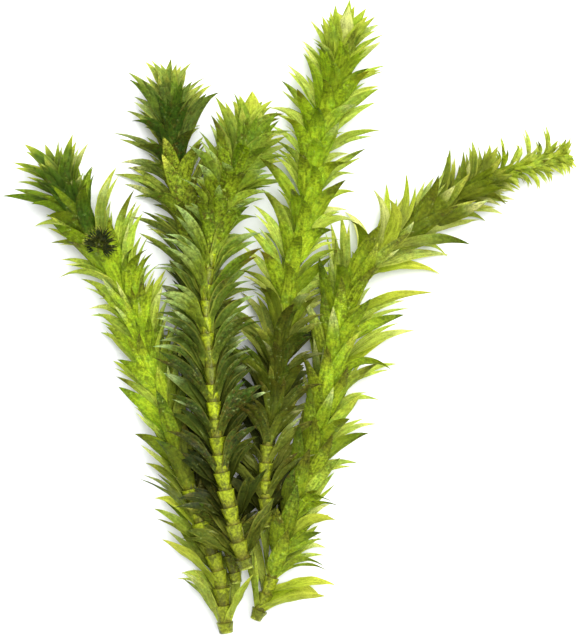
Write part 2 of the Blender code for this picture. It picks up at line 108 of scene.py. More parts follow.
# A stage of growth says, at a share of the way from the cut end to the tip, how far apart the
# whorls are, how long the leaves are, and how far they lean from the stem in their lower and upper
# halves.
STAGE_PARTS = ("share", "spacing", "length", "rise", "bend")
USUAL_GROWTH = (
    (0.00, 5.0, 17.0, 34, 60),
    (0.35, 4.9, 20.0, 24, 68),
    (0.70, 4.3, 20.5, 24, 72),
    (0.85, 3.2, 20.0, 24, 64),
    (0.93, 2.2, 16.5, 20, 42),
    (1.00, 1.5, 11.5, 12, 24),
)
LEFT_GROWTH = (
    (0.00, 5.0, 16.5, 32, 50),
    (0.30, 4.8, 20.0, 20, 44),
    (0.65, 4.5, 22.0, 20, 54),
    (0.84, 3.0, 21.0, 24, 60),
    (0.92, 2.0, 16.0, 26, 50),
    (1.00, 1.5, 11.0, 14, 30),
)
RIGHT_GROWTH = (
    (0.00, 5.0, 20.0, 40, 84),
    (0.12, 4.9, 18.0, 28, 56),
    (0.30, 4.6, 22.0, 24, 80),
    (0.60, 4.4, 25.0, 26, 80),
    (0.78, 3.8, 23.0, 24, 56),
    (0.92, 2.5, 18.0, 24, 50),
    (1.00, 1.8, 12.5, 22, 50),
)
SHOOT_GROWTH = (
    (0.00, 2.1, 7.5, 42, 90),
    (0.60, 1.9, 8.4, 40, 92),
    (0.90, 1.6, 7.6, 34, 72),
    (1.00, 1.4, 5.5, 20, 34),
)
BUD_GROWTH = (
    (0.00, 1.5, 5.5, 60, 80),
    (0.60, 1.3, 5.5, 48, 70),
    (1.00, 1.1, 4.0, 18, 24),
)

# The route of each stem's axis, from the cut end to the bud at the tip, which the last leaves reach
# 10 mm past; the tips of its leaves that show at the edges, seen from above; and how close the
# other leaves keep. A stretch of stem is bare of upper leaves between two shares of its length,
# over so many degrees to each side of up. The radii, the growth, the size of the leaves and the way
# that the stem faces are given where they aren't the usual ones.
STEMS = {
    "centre_stem": {
        "route": (
            (-11.5, -69.2, 12.0), (-14.8, -58.0, 13.0), (-19.0, -38.4, 14.0), (-21.2, -16.0, 14.2),
            (-22.7, 0.6, 13.6), (-21.6, 16.5, 12.6), (-19.0, 30.8, 11.6), (-14.0, 42.8, 10.6),
            (-11.3, 53.5, 9.6),
        ),
        "tips": (
            (-13.5, 62.5), (-12, 61.5), (-10, 64), (-8.5, 63.5), (-5, 62.5), (-4, 61.5), (-20.5, 62.5),
            (-20.5, 59), (-21.5, 57), (-25, 53), (-19.5, 53), (-1, 57.5), (1, 53), (-0.5, 51), (1, 49.5),
            (0.5, 39), (-7, 20), (-31.5, 32), (-33.5, 22), (-33.5, 17), (-36, 7), (-37, 2), (-31, -3.5),
            (-31.5, -7),
            (-10.5, 23.5), (-8, 16), (-31.5, 32), (-36, 17.5), (-36, 1),
        ),
        "radii": (2.2, 1.25, 0.6),
        "bare": ((0.0, 0.2, 75), (0.2, 0.68, 42)),
    },
    "tall_stem": {
        "route": (
            (-5.9, -58.0, 8.0), (-6.4, -42.8, 8.6), (-4.2, -22.4, 9.0), (-1.1, 0.6, 9.0),
            (1.4, 15.1, 8.6), (5.3, 30.5, 8.0), (7.3, 45.4, 7.4), (12.0, 62.7, 7.0),
            (15.5, 79.8, 7.0),
        ),
        "tips": (
            (12, 89), (13.5, 87.5), (17, 87.5), (20.5, 85.5), (22, 86), (6, 85), (10.5, 85.5),
            (26, 83.5), (27.5, 81), (26, 77.5), (28.5, 72), (26, 69.5), (22.5, 68.5), (26, 66.5),
            (25.5, 64.5), (25, 61.5), (19, 59.5), (26, 53), (22, 48), (16, 38.5), (19, 35.5), (17.5, 31),
            (19, 27.5), (15, 22.5), (12, 17.5), (3.5, 79.5), (6.5, 78.5), (6, 74.5), (4, 73.5),
            (-0.5, 72.5), (-2, 67), (5, 70), (2.5, 63.5), (-5.5, 59.5), (-1, 55.5), (-1.5, 48.5),
            (-8, 45), (-7.5, 36.5), (-10, 32.5), (-12.5, 26), (-7.5, 19), (-13, 21), (-14, 14),
            (-10.5, 10), (-13.5, 8), (-18.5, 3.5), (-15.5, -0.5), (-17, -7),
        ),
        "close": (1.0, 0.95),
        "bare": ((0.0, 0.16, 60),),
    },
    "right_stem": {
        "route": (
            (-9.2, -84.6, 4.8), (-5.6, -75.6, 5.2), (-1.1, -61.3, 5.8), (3.9, -44.8, 6.0),
            (7.8, -31.6, 6.2), (11.5, -14.3, 6.4), (15.1, 2.8, 6.6), (19.3, 11.8, 6.6),
            (31.9, 23.2, 6.6), (40.9, 29.1, 6.6), (50.0, 36.4, 6.8), (55.0, 40.0, 7.0),
        ),
        "tips": (
            (23.5, 37), (27.5, 33.5), (16, 31), (16.5, 27.5), (28, 39), (33, 41.5), (14.5, 20.5),
            (13, 15), (41.5, 40), (45.5, 48.5), (47.5, 46.5), (49, 44), (61, 29.5), (56.5, 28), (61, 32),
            (51, 21), (46, 18.5), (46, 17), (43.5, 13), (40.5, 7.5), (34, 5.5), (38.5, 3.5), (32.5, 1.5),
            (36, -3), (31, -4), (31.5, -12.5), (29, -14), (26.5, -23), (26, -29.5), (22.5, -31.5),
            (17, -27), (20, -40.5), (12, -50), (12, -52.5), (13.5, -56), (9.5, -58.5), (11, -65),
            (10.5, -69), (13.5, -75), (10.5, -76.5), (9.5, -79),
        ),
        "close": (0.7, 0.4),
        "bare": ((0.0, 0.08, 60),),
        "growth": RIGHT_GROWTH,
    },
    "right_tip_shoot": {
        "route": (
            (56.2, 40.6, 7.0), (62.0, 42.4, 6.6), (67.8, 43.4, 5.6), (73.0, 45.4, 5.2), (77.3, 46.4, 5.0),
        ),
        "tips": (
            (50, 47.5), (55, 49.5), (60, 52.5), (59.5, 48.5), (64.5, 50), (67, 54.5), (70, 50.5),
            (72.5, 55), (76.5, 51.5), (65, 37), (68, 37), (70.5, 36.5), (74, 38.5), (78, 40.5),
            (80, 44.5), (79, 47), (77.5, 48),
        ),
        "radii": (1.0, 0.8, 0.35),
        "close": (0.9, 0.7),
        "growth": SHOOT_GROWTH,
        "leaf_size": 0.55,
    },
    "left_stem": {
        "route": (
            (-17.4, -88.3, 4.8), (-19.6, -71.4, 5.6), (-25.8, -53.2, 6.2), (-31.6, -33.6, 6.4),
            (-37.8, -14.6, 6.4), (-44.2, 3.6, 6.4), (-52.9, 20.2, 6.4), (-59.4, 30.2, 6.8),
            (-64.6, 40.0, 7.2),
        ),
        "tips": (
            (-78, 44.5), (-73.5, 49), (-69, 50), (-66.5, 52), (-64.5, 50.5), (-60, 52), (-56, 50),
            (-76, 38.5), (-80, 34.5), (-71, 32), (-72.5, 26.5), (-66.5, 28.5), (-66.5, 21.5),
            (-64.5, 17), (-60, 13), (-64.5, 11.5), (-57, 3), (-53.5, -3.5), (-50, -11.5), (-43.5, -12.5),
            (-47, -18.5), (-44, -22), (-42.5, -31.5), (-40.5, -40.5), (-41, -43), (-38, -50.5),
            (-38, -53), (-35.5, -61.5), (-30, -70.5), (-30.5, -72), (-27.5, -81), (-57, 41), (-55, 38),
            (-48.5, 43.5), (-49.5, 40), (-43, 36.5), (-41.5, 33), (-40.5, 30),
            (-38.5, 19.5), (-40, 11.5), (-39, 16),
        ),
        "close": (0.85, 0.75),
        "radii": (2.3, 1.25, 0.6),
        "bare": ((0.0, 0.3, 58),),
        "growth": LEFT_GROWTH,
    },
    "left_side_bud": {
        "route": ((-52.0, 21.2, 9.2), (-52.1, 21.0, 12.0), (-52.2, 20.8, 16.0)),
        "facing": (0, 1, 0),
        "radii": (0.9, 0.8, 0.35),
        "growth": BUD_GROWTH,
        "leaf_size": 0.55,
    },
    "dark_stem": {
        "route": (
            (-14.6, -74.2, 4.8), (-16.8, -63.0, 5.2), (-21.3, -36.4, 5.6), (-24.6, -8.4, 5.6),
            (-26.0, 14.0, 5.8), (-29.4, 32.8, 6.2), (-32.2, 47.0, 6.8), (-33.4, 63.0, 7.4),
        ),
        "tips": (
            (-45, 69.5), (-44.5, 67), (-44, 63.5), (-40.5, 73), (-38.5, 73), (-32.5, 73), (-27, 72.5),
            (-23, 68.5), (-21.5, 66.5), (-19, 63.5), (-21.5, 61.5), (-49.5, 52.5), (-47, 44),
            (-49.5, 41.5), (-46, 38), (-45, 29), (-42, 24.5), (-18.5, 54), (-17.5, 51), (-25, 55.5),
            (-41.5, 21), (-38.5, 13), (-38, -2),
        ),
    },
}

# What a leaf tries when it would touch another one: a turn about the stem in degrees, a share of
# its usual lean, and a share of its usual length.
LEAF_TRIES = [
    (turn, lean, length)
    for length in (1.0, 0.85, 0.7, 0.5)
    for lean in (1.0, 0.75, 1.25, 0.5)
    for turn in (0, 8, -8, 16, -16)
]

# The record's finish slot of each node.
SLOTS = {
    "centre_stem": "bright_leaf",
    "tall_stem": "bright_leaf",
    "right_stem": "mottled_leaf",
    "right_tip_shoot": "young_leaf",
    "left_stem": "bright_leaf",
    "left_side_bud": "dark_leaf",
    "dark_stem": "dark_leaf",
}

# The thin blade: how its width runs from root to tip, how deep its channel is, how it waves, twists
# and curls, and how thin it is where it lies on the floor. A leaf on top has a blunter tip, one in
# a head a slimmer one, and one deep in the bunch is wider.
BLADE_ROWS = 12
BLADE_WIDTH = 1.12
HOLLOW_WIDER = 0.2
ROOT_WIDTH = 0.82
WIDEST_SHARE = 0.28
EDGE_TAPER = 0.12
BLUNTNESS = (1.5, 2.1)
TOP_BLUNTER = (0, 0.5)
HEAD_POINTIER = 0.3
CHANNEL = 0.28
CLASP = 1.1
CLASP_SHARE = 0.28
BLADE_THICKNESS = 0.16
WAVE_HEIGHT = 0.16
WAVES = (1.5, 3.5)
TWIST = math.radians(22)
MIDDLE_PULL = 0.92
BLADE_SWEEP = 0.2
TIP_CURL = 0.315
CURL_VARIES = (0.3, 1.0)
CURL_FROM = 0.55
FLOOR_CLEARANCE = 0.03
FLAT_THICKNESS = 0.05
LEAF_MARKS = ("seed", "mottle", "pale_edge", "through")

# The stem: its sides, how each segment widens from one joint to the next and how brown it is above
# a joint, where its upper rim gets ragged, and the rings of its cut end with their width and their
# rise.
STEM_SIDES = 16
JOINT_STEPS = (0.03, 0.25, 0.5, 0.75, 0.93, 1.0)
JOINT_NARROW = 0.86
JOINT_WIDE = 1.12
SEGMENT_FLARE = (0.95, 1.12)
FLARE_POWER = 1.5
SEGMENT_BULGE = 0.07
SEGMENT_BROWN = 0.9
SEGMENT_BRIGHT_FROM = (0.3, 0.7)
RIM_RAG = 0.45
RAGGED_FROM = 0.5
RAGGED_WHOLLY = 0.9
CUT_RINGS = ((0.16, 0.0), (0.16, -0.25), (0.48, 0.0))

# Up to where a stem is paler towards its cut end, where its segments are clean instead of olive,
# and how far past a bare stretch they still are.
STEM_BASE_SHARE = 0.35
CLEAN_BASE_SHARE = 0.12
CLEAN_MARGIN = 0.06

# From which angle between two faces an edge is shaded sharp.
LEAF_SHARP_ANGLE = 60
STEM_SHARP_ANGLE = 50

# The colours of the plant, as the share of red, green and blue light that each sends back.
SUNLIT_GREEN = (0.450, 0.560, 0.026)
SPRING_GREEN = (0.340, 0.440, 0.018)
LEAF_GREEN = (0.260, 0.325, 0.016)
GRASS_GREEN = (0.130, 0.215, 0.009)
YELLOW_GREEN = (0.470, 0.540, 0.045)
PALE_GREEN = (0.620, 0.680, 0.130)
OLIVE_GREEN = (0.150, 0.175, 0.012)
BOTTLE_GREEN = (0.040, 0.082, 0.008)
DEEP_GREEN = (0.015, 0.024, 0.005)
CREAM = (0.900, 0.860, 0.340)
LEMON = (0.680, 0.660, 0.090)
# Mint is also the colour of the painted highlights on the leaves.
MINT = (0.560, 0.680, 0.260)
RUST_BROWN = (0.150, 0.075, 0.010)
OCHRE = (0.420, 0.340, 0.014)
OLIVE_BROWN = (0.080, 0.065, 0.008)
DEEP_OLIVE = (0.040, 0.045, 0.007)
STEM_GREEN = (0.270, 0.335, 0.008)
STEM_BASE_GREEN = (0.200, 0.235, 0.014)
STEM_OLIVE = (0.110, 0.130, 0.010)
CUT_GREEN = (0.330, 0.390, 0.060)

# What the greener patches of a leaf keep of its red, green and blue.
GREENER = (0.550, 0.960, 0.900)

# The leaves' green along each stem, from its cut end to its tip.
LEAF_GREENS = {
    "left_stem": (
        (0.00, YELLOW_GREEN), (0.16, LEAF_GREEN), (0.32, OLIVE_GREEN), (0.42, SPRING_GREEN),
        (0.50, SUNLIT_GREEN), (0.62, SUNLIT_GREEN), (0.76, SPRING_GREEN), (0.82, LEAF_GREEN),
        (0.87, BOTTLE_GREEN), (1.00, BOTTLE_GREEN),
    ),
    "left_side_bud": ((0.0, DEEP_GREEN), (1.0, DEEP_GREEN)),
    "dark_stem": (
        (0.00, OLIVE_GREEN), (0.25, BOTTLE_GREEN), (0.55, BOTTLE_GREEN), (0.76, LEAF_GREEN),
        (0.84, BOTTLE_GREEN), (0.92, BOTTLE_GREEN), (1.00, GRASS_GREEN),
    ),
    "centre_stem": (
        (0.00, OLIVE_GREEN), (0.25, BOTTLE_GREEN), (0.45, BOTTLE_GREEN), (0.62, GRASS_GREEN),
        (0.78, LEAF_GREEN), (0.90, GRASS_GREEN), (1.00, LEAF_GREEN),
    ),
    "tall_stem": (
        (0.00, OLIVE_GREEN), (0.20, OLIVE_GREEN), (0.38, OLIVE_GREEN), (0.48, SUNLIT_GREEN),
        (0.70, SUNLIT_GREEN), (0.84, SPRING_GREEN), (0.92, LEAF_GREEN), (1.00, LEAF_GREEN),
    ),
    "right_stem": (
        (0.00, YELLOW_GREEN), (0.14, SPRING_GREEN), (0.30, LEAF_GREEN), (0.42, SUNLIT_GREEN),
        (0.55, SPRING_GREEN), (0.66, LEAF_GREEN), (0.80, OLIVE_GREEN), (1.00, OLIVE_GREEN),
    ),
    "right_tip_shoot": (
        (0.00, OLIVE_GREEN), (0.15, SPRING_GREEN), (0.40, YELLOW_GREEN), (1.00, YELLOW_GREEN),
    ),
}

# How mottled the leaves of each stem are.
MOTTLES = {
    "left_stem": 0.3, "left_side_bud": 0.3, "dark_stem": 0.7, "centre_stem": 0.65, "tall_stem": 0.25,
    "right_stem": 0.35, "right_tip_shoot": 0.25,
}

# Painted light: how much paler the leaves at each stem's sides are painted than those that face up,
# below its head and in it, in place of the floor's light coming through them.
PAINTED_SIDE_LIGHT = {
    "left_stem": (0.6, 0.1), "left_side_bud": (0, 0), "dark_stem": (0.3, 0.4), "centre_stem": (0.2, 0.3),
    "tall_stem": (0.8, 0.3), "right_stem": (0.7, 0.2), "right_tip_shoot": (0.5, 0.5),
}

# How wide the blades at each stem's sides are, as a share of their usual width, which those on top
# have.
SIDE_WIDTHS = {
    "left_stem": 0.95, "left_side_bud": 0.8, "dark_stem": 1.0, "centre_stem": 1.2, "tall_stem": 1.0,
    "right_stem": 1.0, "right_tip_shoot": 0.95,
}

# The blades that lie along one solid leaf: how far to its side each one's tip is in mm, and its
# share of the leaf's width and length. A blade sinks by a share of the way that it fans out.
SINGLE_BLADE = ((0.0, 1.0, 1.0),)
HEAD_FAN = ((0.0, 0.62, 1.0), (2.2, 0.56, 0.86))
CROWDED_FAN = ((0.0, 0.75, 1.0), (3.4, 0.62, 0.82))
SIDE_FAN = ((0.0, 0.8, 1.0), (3.0, 0.55, 0.85))
GAP_FAN = ((0.0, 0.8, 1.0), (3.8, 0.5, 0.95), (-3.8, 0.5, 0.85))
SHOOT_FAN = ((0.0, 0.65, 1.0), (1.4, 0.5, 0.9))
BUD_FAN = (
    (-1.3, 0.26, 0.8), (-0.8, 0.28, 1.0), (-0.3, 0.28, 0.9), (0.2, 0.28, 1.0), (0.7, 0.28, 0.85),
    (1.2, 0.26, 0.95),
)
BUD_FAN_VARIES = 0.3
FAN_SINK = 0.15

# Up to which share of its length a stem lies in the crowded middle of the bunch.
CROWDED_TO = {"centre_stem": 0.75, "dark_stem": 0.6, "tall_stem": 0.4}

# Places where the leaves that end near them spread out to close a gap between the stems.
GAPS = (
    (-40.0, 22.0), (-38.0, 8.0), (-35.0, -4.0), (-9.0, -6.0), (-10.0, -20.0), (-36.0, -48.0),
    (-33.0, -60.0), (-29.0, -74.0), (14.0, -54.0), (14.0, -66.0), (12.0, -78.0), (-52.0, 8.0),
    (38.0, 12.0),
)
GAP_REACH = 8.0

# How high above the axis a leaf's middle is where it wholly faces up, and from which share of that
# on it counts as a leaf on top.
FACING_UP_HEIGHT = 4.0
ON_TOP_FROM = 0.5

# The blade of a leaf: how far its green and its brightness stray from its stem's, how much paler
# its root is and how far that goes, how mottled it is on top and in a head, and how pale its edges
# get.
GREEN_STRAYS = 0.05
BRIGHTNESS = (0.8, 1.2)
ROOT_PALER = 0.4
ROOT_BRIGHTER = 1.1
ROOT_END = 0.25
LEAST_MOTTLE = 0.6
TOP_MOTTLE = 0.9
HEAD_MOTTLE = 0.6
MOTTLE_STRAYS = 0.2
PALE_EDGE = (0.3, 1.0)
LIGHT_THROUGH = (0.75, 1.0)

# The tip of a leaf: where it starts and how much sooner than at its end its colour is full, how
# many tips are dark or pale, and how much of the dark or pale colour they take.
TIP_STARTS = (0.5, 0.7)
TIP_SOONER = 1.3
# Dark tips are partly painted shade, where a tip lies over the next leaf, and partly the leaves' own dark
# tips.
DARK_TIPS = 0.75
DARK_TIP_SHARE = (0.6, 0.95)
DARK_TIP_STARTS = (0.35, 0.55)
DARK_TIP_MOTTLE = 0.85
PALE_TIPS = 0.6
PALE_TIP_SHARE = 0.7
HEAD_TIP_MOTTLE = 0.8

# The centre stem's pale tips are mint green from a share of its length on, the tips of a crown,
# which reach past their stem's end, are lemon, and so are the bud's tips that point away from it up
# and to the left.
MINT_FROM = 0.3
MINT_TIP_SHARE = 0.85
MINT_TIP_STARTS = (0.55, 0.75)
CROWN_REACH = 6.0
CROWN_TIP_SHARE = 0.6
BUD_THROUGH = 0.05
BUD_PALE_FROM = 3.0
BUD_TIP_STARTS = (0.75, 0.9)

# Painted shade, partly also the darker colour of old leaves, where leaves lie deep in the bunch: a
# place, how far it reaches to its sides and along the bunch, and how dark it is there.
SHADED_HOLLOWS = (
    ((-8.0, -26.0), (13.0, 24.0), 1.0),
    ((-24.5, -42.0), (9.0, 24.0), 1.0),
    ((-29.0, 12.0), (7.0, 16.0), 0.7),
    ((-12.0, -50.0), (8.0, 14.0), 0.9),
    ((-1.0, -46.0), (5.0, 16.0), 1.0),
    ((-12.0, 6.0), (5.0, 14.0), 0.5),
    ((-31.0, -20.0), (5.0, 20.0), 0.7),
    ((3.0, -16.0), (5.0, 16.0), 0.9),
    ((0.0, -8.0), (8.0, 13.0), 1.2),
    ((8.0, -9.0), (4.0, 12.0), 0.8),
)

# What the painted shade of a hollow does: leaves on top are spared a share of it, roots are darker
# for longer, and less light comes through.
HOLLOW_SPARES_TOP = 0.4
HOLLOW_ROOT_DARKER = 0.85
HOLLOW_ROOT_LONGER = 0.4
HOLLOW_BLOCKS = 0.8

# Leaves whose tips stand out in the bunch: where each tip is, and what colour it has.
MARKED_TIPS = (
    ((23.5, 37.0), CREAM), ((16.0, 31.0), CREAM), ((27.5, 33.5), LEMON), ((28.0, 39.0), YELLOW_GREEN),
    ((33.0, 41.5), YELLOW_GREEN), ((43.5, 13.0), LEMON), ((40.5, 7.5), LEMON), ((31.0, -4.0), LEMON),
    ((-38.0, -50.5), LEMON), ((-35.5, -61.5), LEMON), ((-27.5, -81.0), CREAM), ((13.5, -56.0), LEMON),
    ((10.5, -76.5), LEMON), ((9.5, -79.0), LEMON), ((13.5, -75.0), LEMON), ((2.5, 63.5), RUST_BROWN),
    ((-1.0, 55.5), RUST_BROWN), ((22.5, 68.5), RUST_BROWN), ((-7.5, 19.0), RUST_BROWN),
    ((-8.0, 16.0), MINT), ((-10.5, 23.5), MINT), ((-31.5, 32.0), MINT), ((-36.0, 17.5), MINT),
    ((-33.5, 22.0), MINT), ((-36.0, 7.0), MINT), ((-10.0, 64.0), LEMON), ((-8.5, 63.5), LEMON),
    ((17.0, 87.5), CREAM), ((20.5, 85.5), LEMON), ((13.5, 87.5), LEMON),
)
MARK_REACH = 2.5

# What such a tip's colour does to its leaf: how much yellower the blade is, how much of the colour
# the tip takes, where it starts, and how mottled the leaf is.
MARKS = {
    CREAM: (0.9, 1, 0.1, 0),
    LEMON: (0.9, 1, 0.3, 0),
    YELLOW_GREEN: (0, 1, 0.3, 0),
    MINT: (0.5, 0.6, 0.3, 0.6),
    RUST_BROWN: (0, 1, 0.6, 0.6),
}

# The finish of the leaves in each slot: the colour of the light that comes through them, how much
# of it does, and how rough they are.
LEAF_FINISHES = {
    "bright_leaf": ((0.58, 0.74, 0.03), 0.5, 0.42),
    "dark_leaf": ((0.34, 0.48, 0.03), 0.4, 0.45),
    "mottled_leaf": ((0.58, 0.70, 0.04), 0.5, 0.42),
    "young_leaf": ((0.66, 0.74, 0.08), 0.5, 0.4),
}

# Noise on leaves and stems: its scale, its detail and its roughness. The scale is in repeats a
# metre, and 1 where the noise follows the leaf or the stem itself.
CLOUDS = (260, 3, 0.6)
SPECKS = (700, 3, 0.65)
FINE_SPECKS = (1200, 3, 0.65)
GRAIN = (2400, 1, 0.5)
VEINS = (1, 1, 0.5)
STREAKS = (1, 2, 0.6)
STEM_STAINS = (380, 3, 0.65)
STEM_SPECKS = (1300, 3, 0.65)
STEM_RIDGES = (1, 1, 0.5)

# How often veins and streaks repeat across a blade and along it, and how far apart two blades'
# patterns are.
VEINS_SPACED = (11, 1.6, 40)
STREAKS_SPACED = (7, 5, 60)

# How often a stem's ridges repeat from its middle to its side, and along each mm of it.
RIDGES_ROUND = 6
RIDGES_ALONG = 0.25

# The skin under its film of water.
LEAF_IOR = 1.36
LEAF_GLOSS = 0.2
STEM_IOR = 1.38
STEM_GLOSS = 0.25
WATER_IOR = 1.33
FILM_ROUGHNESS = 0.18
BUMP_STRENGTH = 0.5
LEAF_BUMP = 0.00014
STEM_BUMP = 0.00015

# Between which two values of its pattern each marking fades in.
ROUGH_FADE = (0.38, 0.62)
GRAIN_FADE = (0.35, 0.65)
MOTTLED_FADE = (0.0, 0.35)
GREENER_FADE = (0.44, 0.58)
OCHRE_VEINS = (0.48, 0.66)
DENSE_CLOUDS = (0.48, 0.6)
MIDRIB_FADE = (0.04, 0.22)
MIDRIB_END = (0.6, 0.95)
PATCH_FADE = (0.49, 0.58)
STAIN_FADE = (0.54, 0.64)
WORN_EDGE_FADE = (0.86, 1.0)
PALE_EDGE_FADE = (0.6, 1.0)
RUST_GRAIN = (0.52, 0.66)
RUST_SPECKS = (0.42, 0.56)
FLECK_SPECKS = (0.52, 0.62)
FLECK_GRAIN = (0.4, 0.6)
FLECK_MOTTLE = (0.4, 0.9)
GLINT_SPECKS = (0.6, 0.68)
FILM_CLOUDS = (0.5, 0.65)
STEM_STAIN_FADE = (0.5, 0.6)

# How bright a plain leaf is, and how much its brightness follows each pattern.
PLAIN_SHADE = 0.95
ROUGH_SHADE = 0.8
GRAIN_SHADE = 0.25
STREAK_SHADE = 0.5
VEIN_SHADE = 0.4
CLOUD_SHADE = 0.9

# How strongly each marking of a leaf shows, and how much brighter or darker than the leaf it is.
GREENER_SHARE = 0.6
OCHRE_SHARE = 0.4
MIDRIB_SHARE = 0.3
MIDRIB_BRIGHTER = 1.6
PATCH_SHARE = 0.8
PATCH_DARKER = 0.32
STAIN_SHARE = 0.75
PALE_EDGE_SHARE = 0.55
RUST_SHARE = 0.6
FLECK_SHARE = 0.5
FLECK_BRIGHTER = 2.0
# How strongly the painted highlights show.
GLINT_SHARE = 0.35
STEM_STAIN_SHARE = 0.6

# The photograph's frame, to which the camera is set, and how many metres above the floor its scale
# holds.
PHOTO_MM_A_PIXEL = 0.28
PHOTO_HIGH = 640
CAMERA_LENS = 100
CAMERA_SENSOR = 36
CAMERA_LEVEL = 0.009

# The stage, in metres: a large soft lamp up and to the right of the heads, a pale room, and a white
# floor.
LIGHT_SIZE = 0.9
LIGHT_PLACE = (0.25, 0.30, 0.9)
LIGHT_POWER = 17
ROOM_LIGHT = 0.75
FLOOR_HALF = 2
PAPER_WHITE = (0.92, 0.93, 0.95)
PAPER_ROUGHNESS = 0.8
PAPER_GLOSS = 0.1


def between(value, low=0, high=1):
    """The value, kept from low to high."""
    return min(high, max(low, value))


class Route:
    """A smooth line through the given points, read by the distance along it."""

    def __init__(self, points):
        self.samples = smooth_line([Vector(point) for point in points])
        self.reach = [0.0]
        for before, after in zip(self.samples, self.samples[1:]):
            self.reach.append(self.reach[-1] + (after - before).length)
        self.length = self.reach[-1]

    def point(self, distance):
        """The point that far from the cut end; the line goes on straight past its ends."""
        index = between(bisect.bisect_right(self.reach, distance), 1, len(self.reach) - 1)
        start, end = self.reach[index - 1], self.reach[index]
        return self.samples[index - 1].lerp(self.samples[index], (distance - start) / (end - start))

    def along(self, distance):
        """The way the stem grows there."""
        return (self.point(distance + ROUTE_STEP) - self.point(distance - ROUTE_STEP)).normalized()


def smooth_line(points):
    """Points every ROUTE_STEP or so on a cubic curve that passes smoothly through the given ones."""
    padded = [points[0] * 2 - points[1], *points, points[-1] * 2 - points[-2]]
    line = []
    for p0, p1, p2, p3 in zip(padded, padded[1:], padded[2:], padded[3:]):
        steps = max(2, round((p2 - p1).length / ROUTE_STEP))
        for step in range(steps):
            t = step / steps
            line.append(
                0.5 * (2 * p1 + (p2 - p0) * t + (2 * p0 - 5 * p1 + 4 * p2 - p3) * t**2
                       + (3 * p1 - p0 - 3 * p2 + p3) * t**3)
            )
    return [*line, points[-1]]


def staged(growth, share):
    """The values of the growth stages, mixed for that share of the stem's length."""
    for before, after in zip(growth, growth[1:]):
        if share <= after[0]:
            mix = (share - before[0]) / (after[0] - before[0])
            return dict(zip(STAGE_PARTS, (a + (b - a) * mix for a, b in zip(before, after))))
    return dict(zip(STAGE_PARTS, growth[-1]))


class Stem:
    """A stem's route and habit, its whorls, and what has to be known to place their leaves."""

    def __init__(self, name, values):
        self.name = name
        self.route = Route(values["route"])
        self.end = self.route.point(self.route.length)
        self.facing = Vector(values.get("facing", (0, 0, 1)))
        self.radii = values.get("radii", (STEM_RADIUS, NECK_RADIUS, APEX_RADIUS))
        self.growth = values.get("growth", USUAL_GROWTH)
        self.leaf_size = values.get("leaf_size", 1.0)
        self.bare = values.get("bare", ())
        self.close = values.get("close", (1, 1))
        self.random = random.Random(f"{SEED} {name}")
        self.first_azimuth = self.random.uniform(0, math.tau)
        self.whorls = list(self.planned_whorls())
        self.meet_tips(values.get("tips", ()))

    def radius(self, distance):
        share = between(distance / self.route.length)
        lower, neck, apex = self.radii
        if share < NECK_SHARE:
            return lower + (neck - lower) * (share / NECK_SHARE) ** 2
        return neck + (apex - neck) * (share - NECK_SHARE) / (1 - NECK_SHARE)

    def around(self, distance, azimuth):
        """The way out from the stem at that azimuth: 0 is to its right as it grows, 90 degrees is up."""
        along = self.route.along(distance)
        up = (self.facing - along * self.facing.dot(along)).normalized()
        right = along.cross(up)
        return right * math.cos(azimuth) + up * math.sin(azimuth)

    def rim(self, distance, azimuth):
        return self.route.point(distance) + self.around(distance, azimuth) * self.radius(distance)

    def is_bare(self, distance, azimuth):
        """Whether the leaf there is one of those that are missing from the stem's upper side."""
        share = distance / self.route.length
        return any(
            start < share < end and math.sin(azimuth) > math.cos(math.radians(half_angle))
            for start, end, half_angle in self.bare
        )

    def planned_whorls(self):
        """The whorls from the cut end to the tip: each turns on from the one below by half a leaf."""
        azimuth = self.first_azimuth
        distance = CUT_MARGIN * self.leaf_size
        while distance < self.route.length - WHORL_HEIGHT * self.leaf_size:
            yield Whorl(self, distance, azimuth)
            azimuth += WHORL_TURN
            distance += staged(self.growth, distance / self.route.length)["spacing"]

    def leaves(self):
        return [leaf for whorl in self.whorls for leaf in whorl.leaves]

    def meet_tips(self, tips):
        """Gives each of the tips that show in the bunch to the leaf whose own tip is nearest to it.

        The other leaves below the head keep closer to the stem.
        """
        natural = {leaf: leaf.shape(LEAF_TRIES[0])[-1].to_2d() for leaf in self.leaves()}
        for tip in map(Vector, tips):
            free = [leaf for leaf in natural if leaf.target is None]
            nearest = min(free, key=lambda leaf: (natural[leaf] - tip).length)
            if (natural[nearest] - tip).length < TIP_REACH:
                nearest.target = tip
        close_rise, close_bend = self.close
        for leaf in natural:
            if leaf.target is None and not leaf.in_head:
                leaf.rise *= close_rise
                leaf.bend *= close_bend


class Whorl:
    """A ring of four or five leaves at a joint of the stem, fewer where the stem is bare."""

    def __init__(self, stem, distance, azimuth):
        self.distance = distance
        azimuths = [azimuth + math.tau / LEAVES_A_WHORL * corner for corner in range(LEAVES_A_WHORL)]
        spare = min(range(LEAVES_A_WHORL), key=lambda corner: math.sin(azimuths[corner]))
        four = stem.random.random() < FOUR_LEAF_SHARE
        self.leaves = [
            Leaf(stem, distance, leaf_azimuth)
            for corner, leaf_azimuth in enumerate(azimuths)
            if not (four and corner == spare) and not stem.is_bare(distance, leaf_azimuth)
        ]


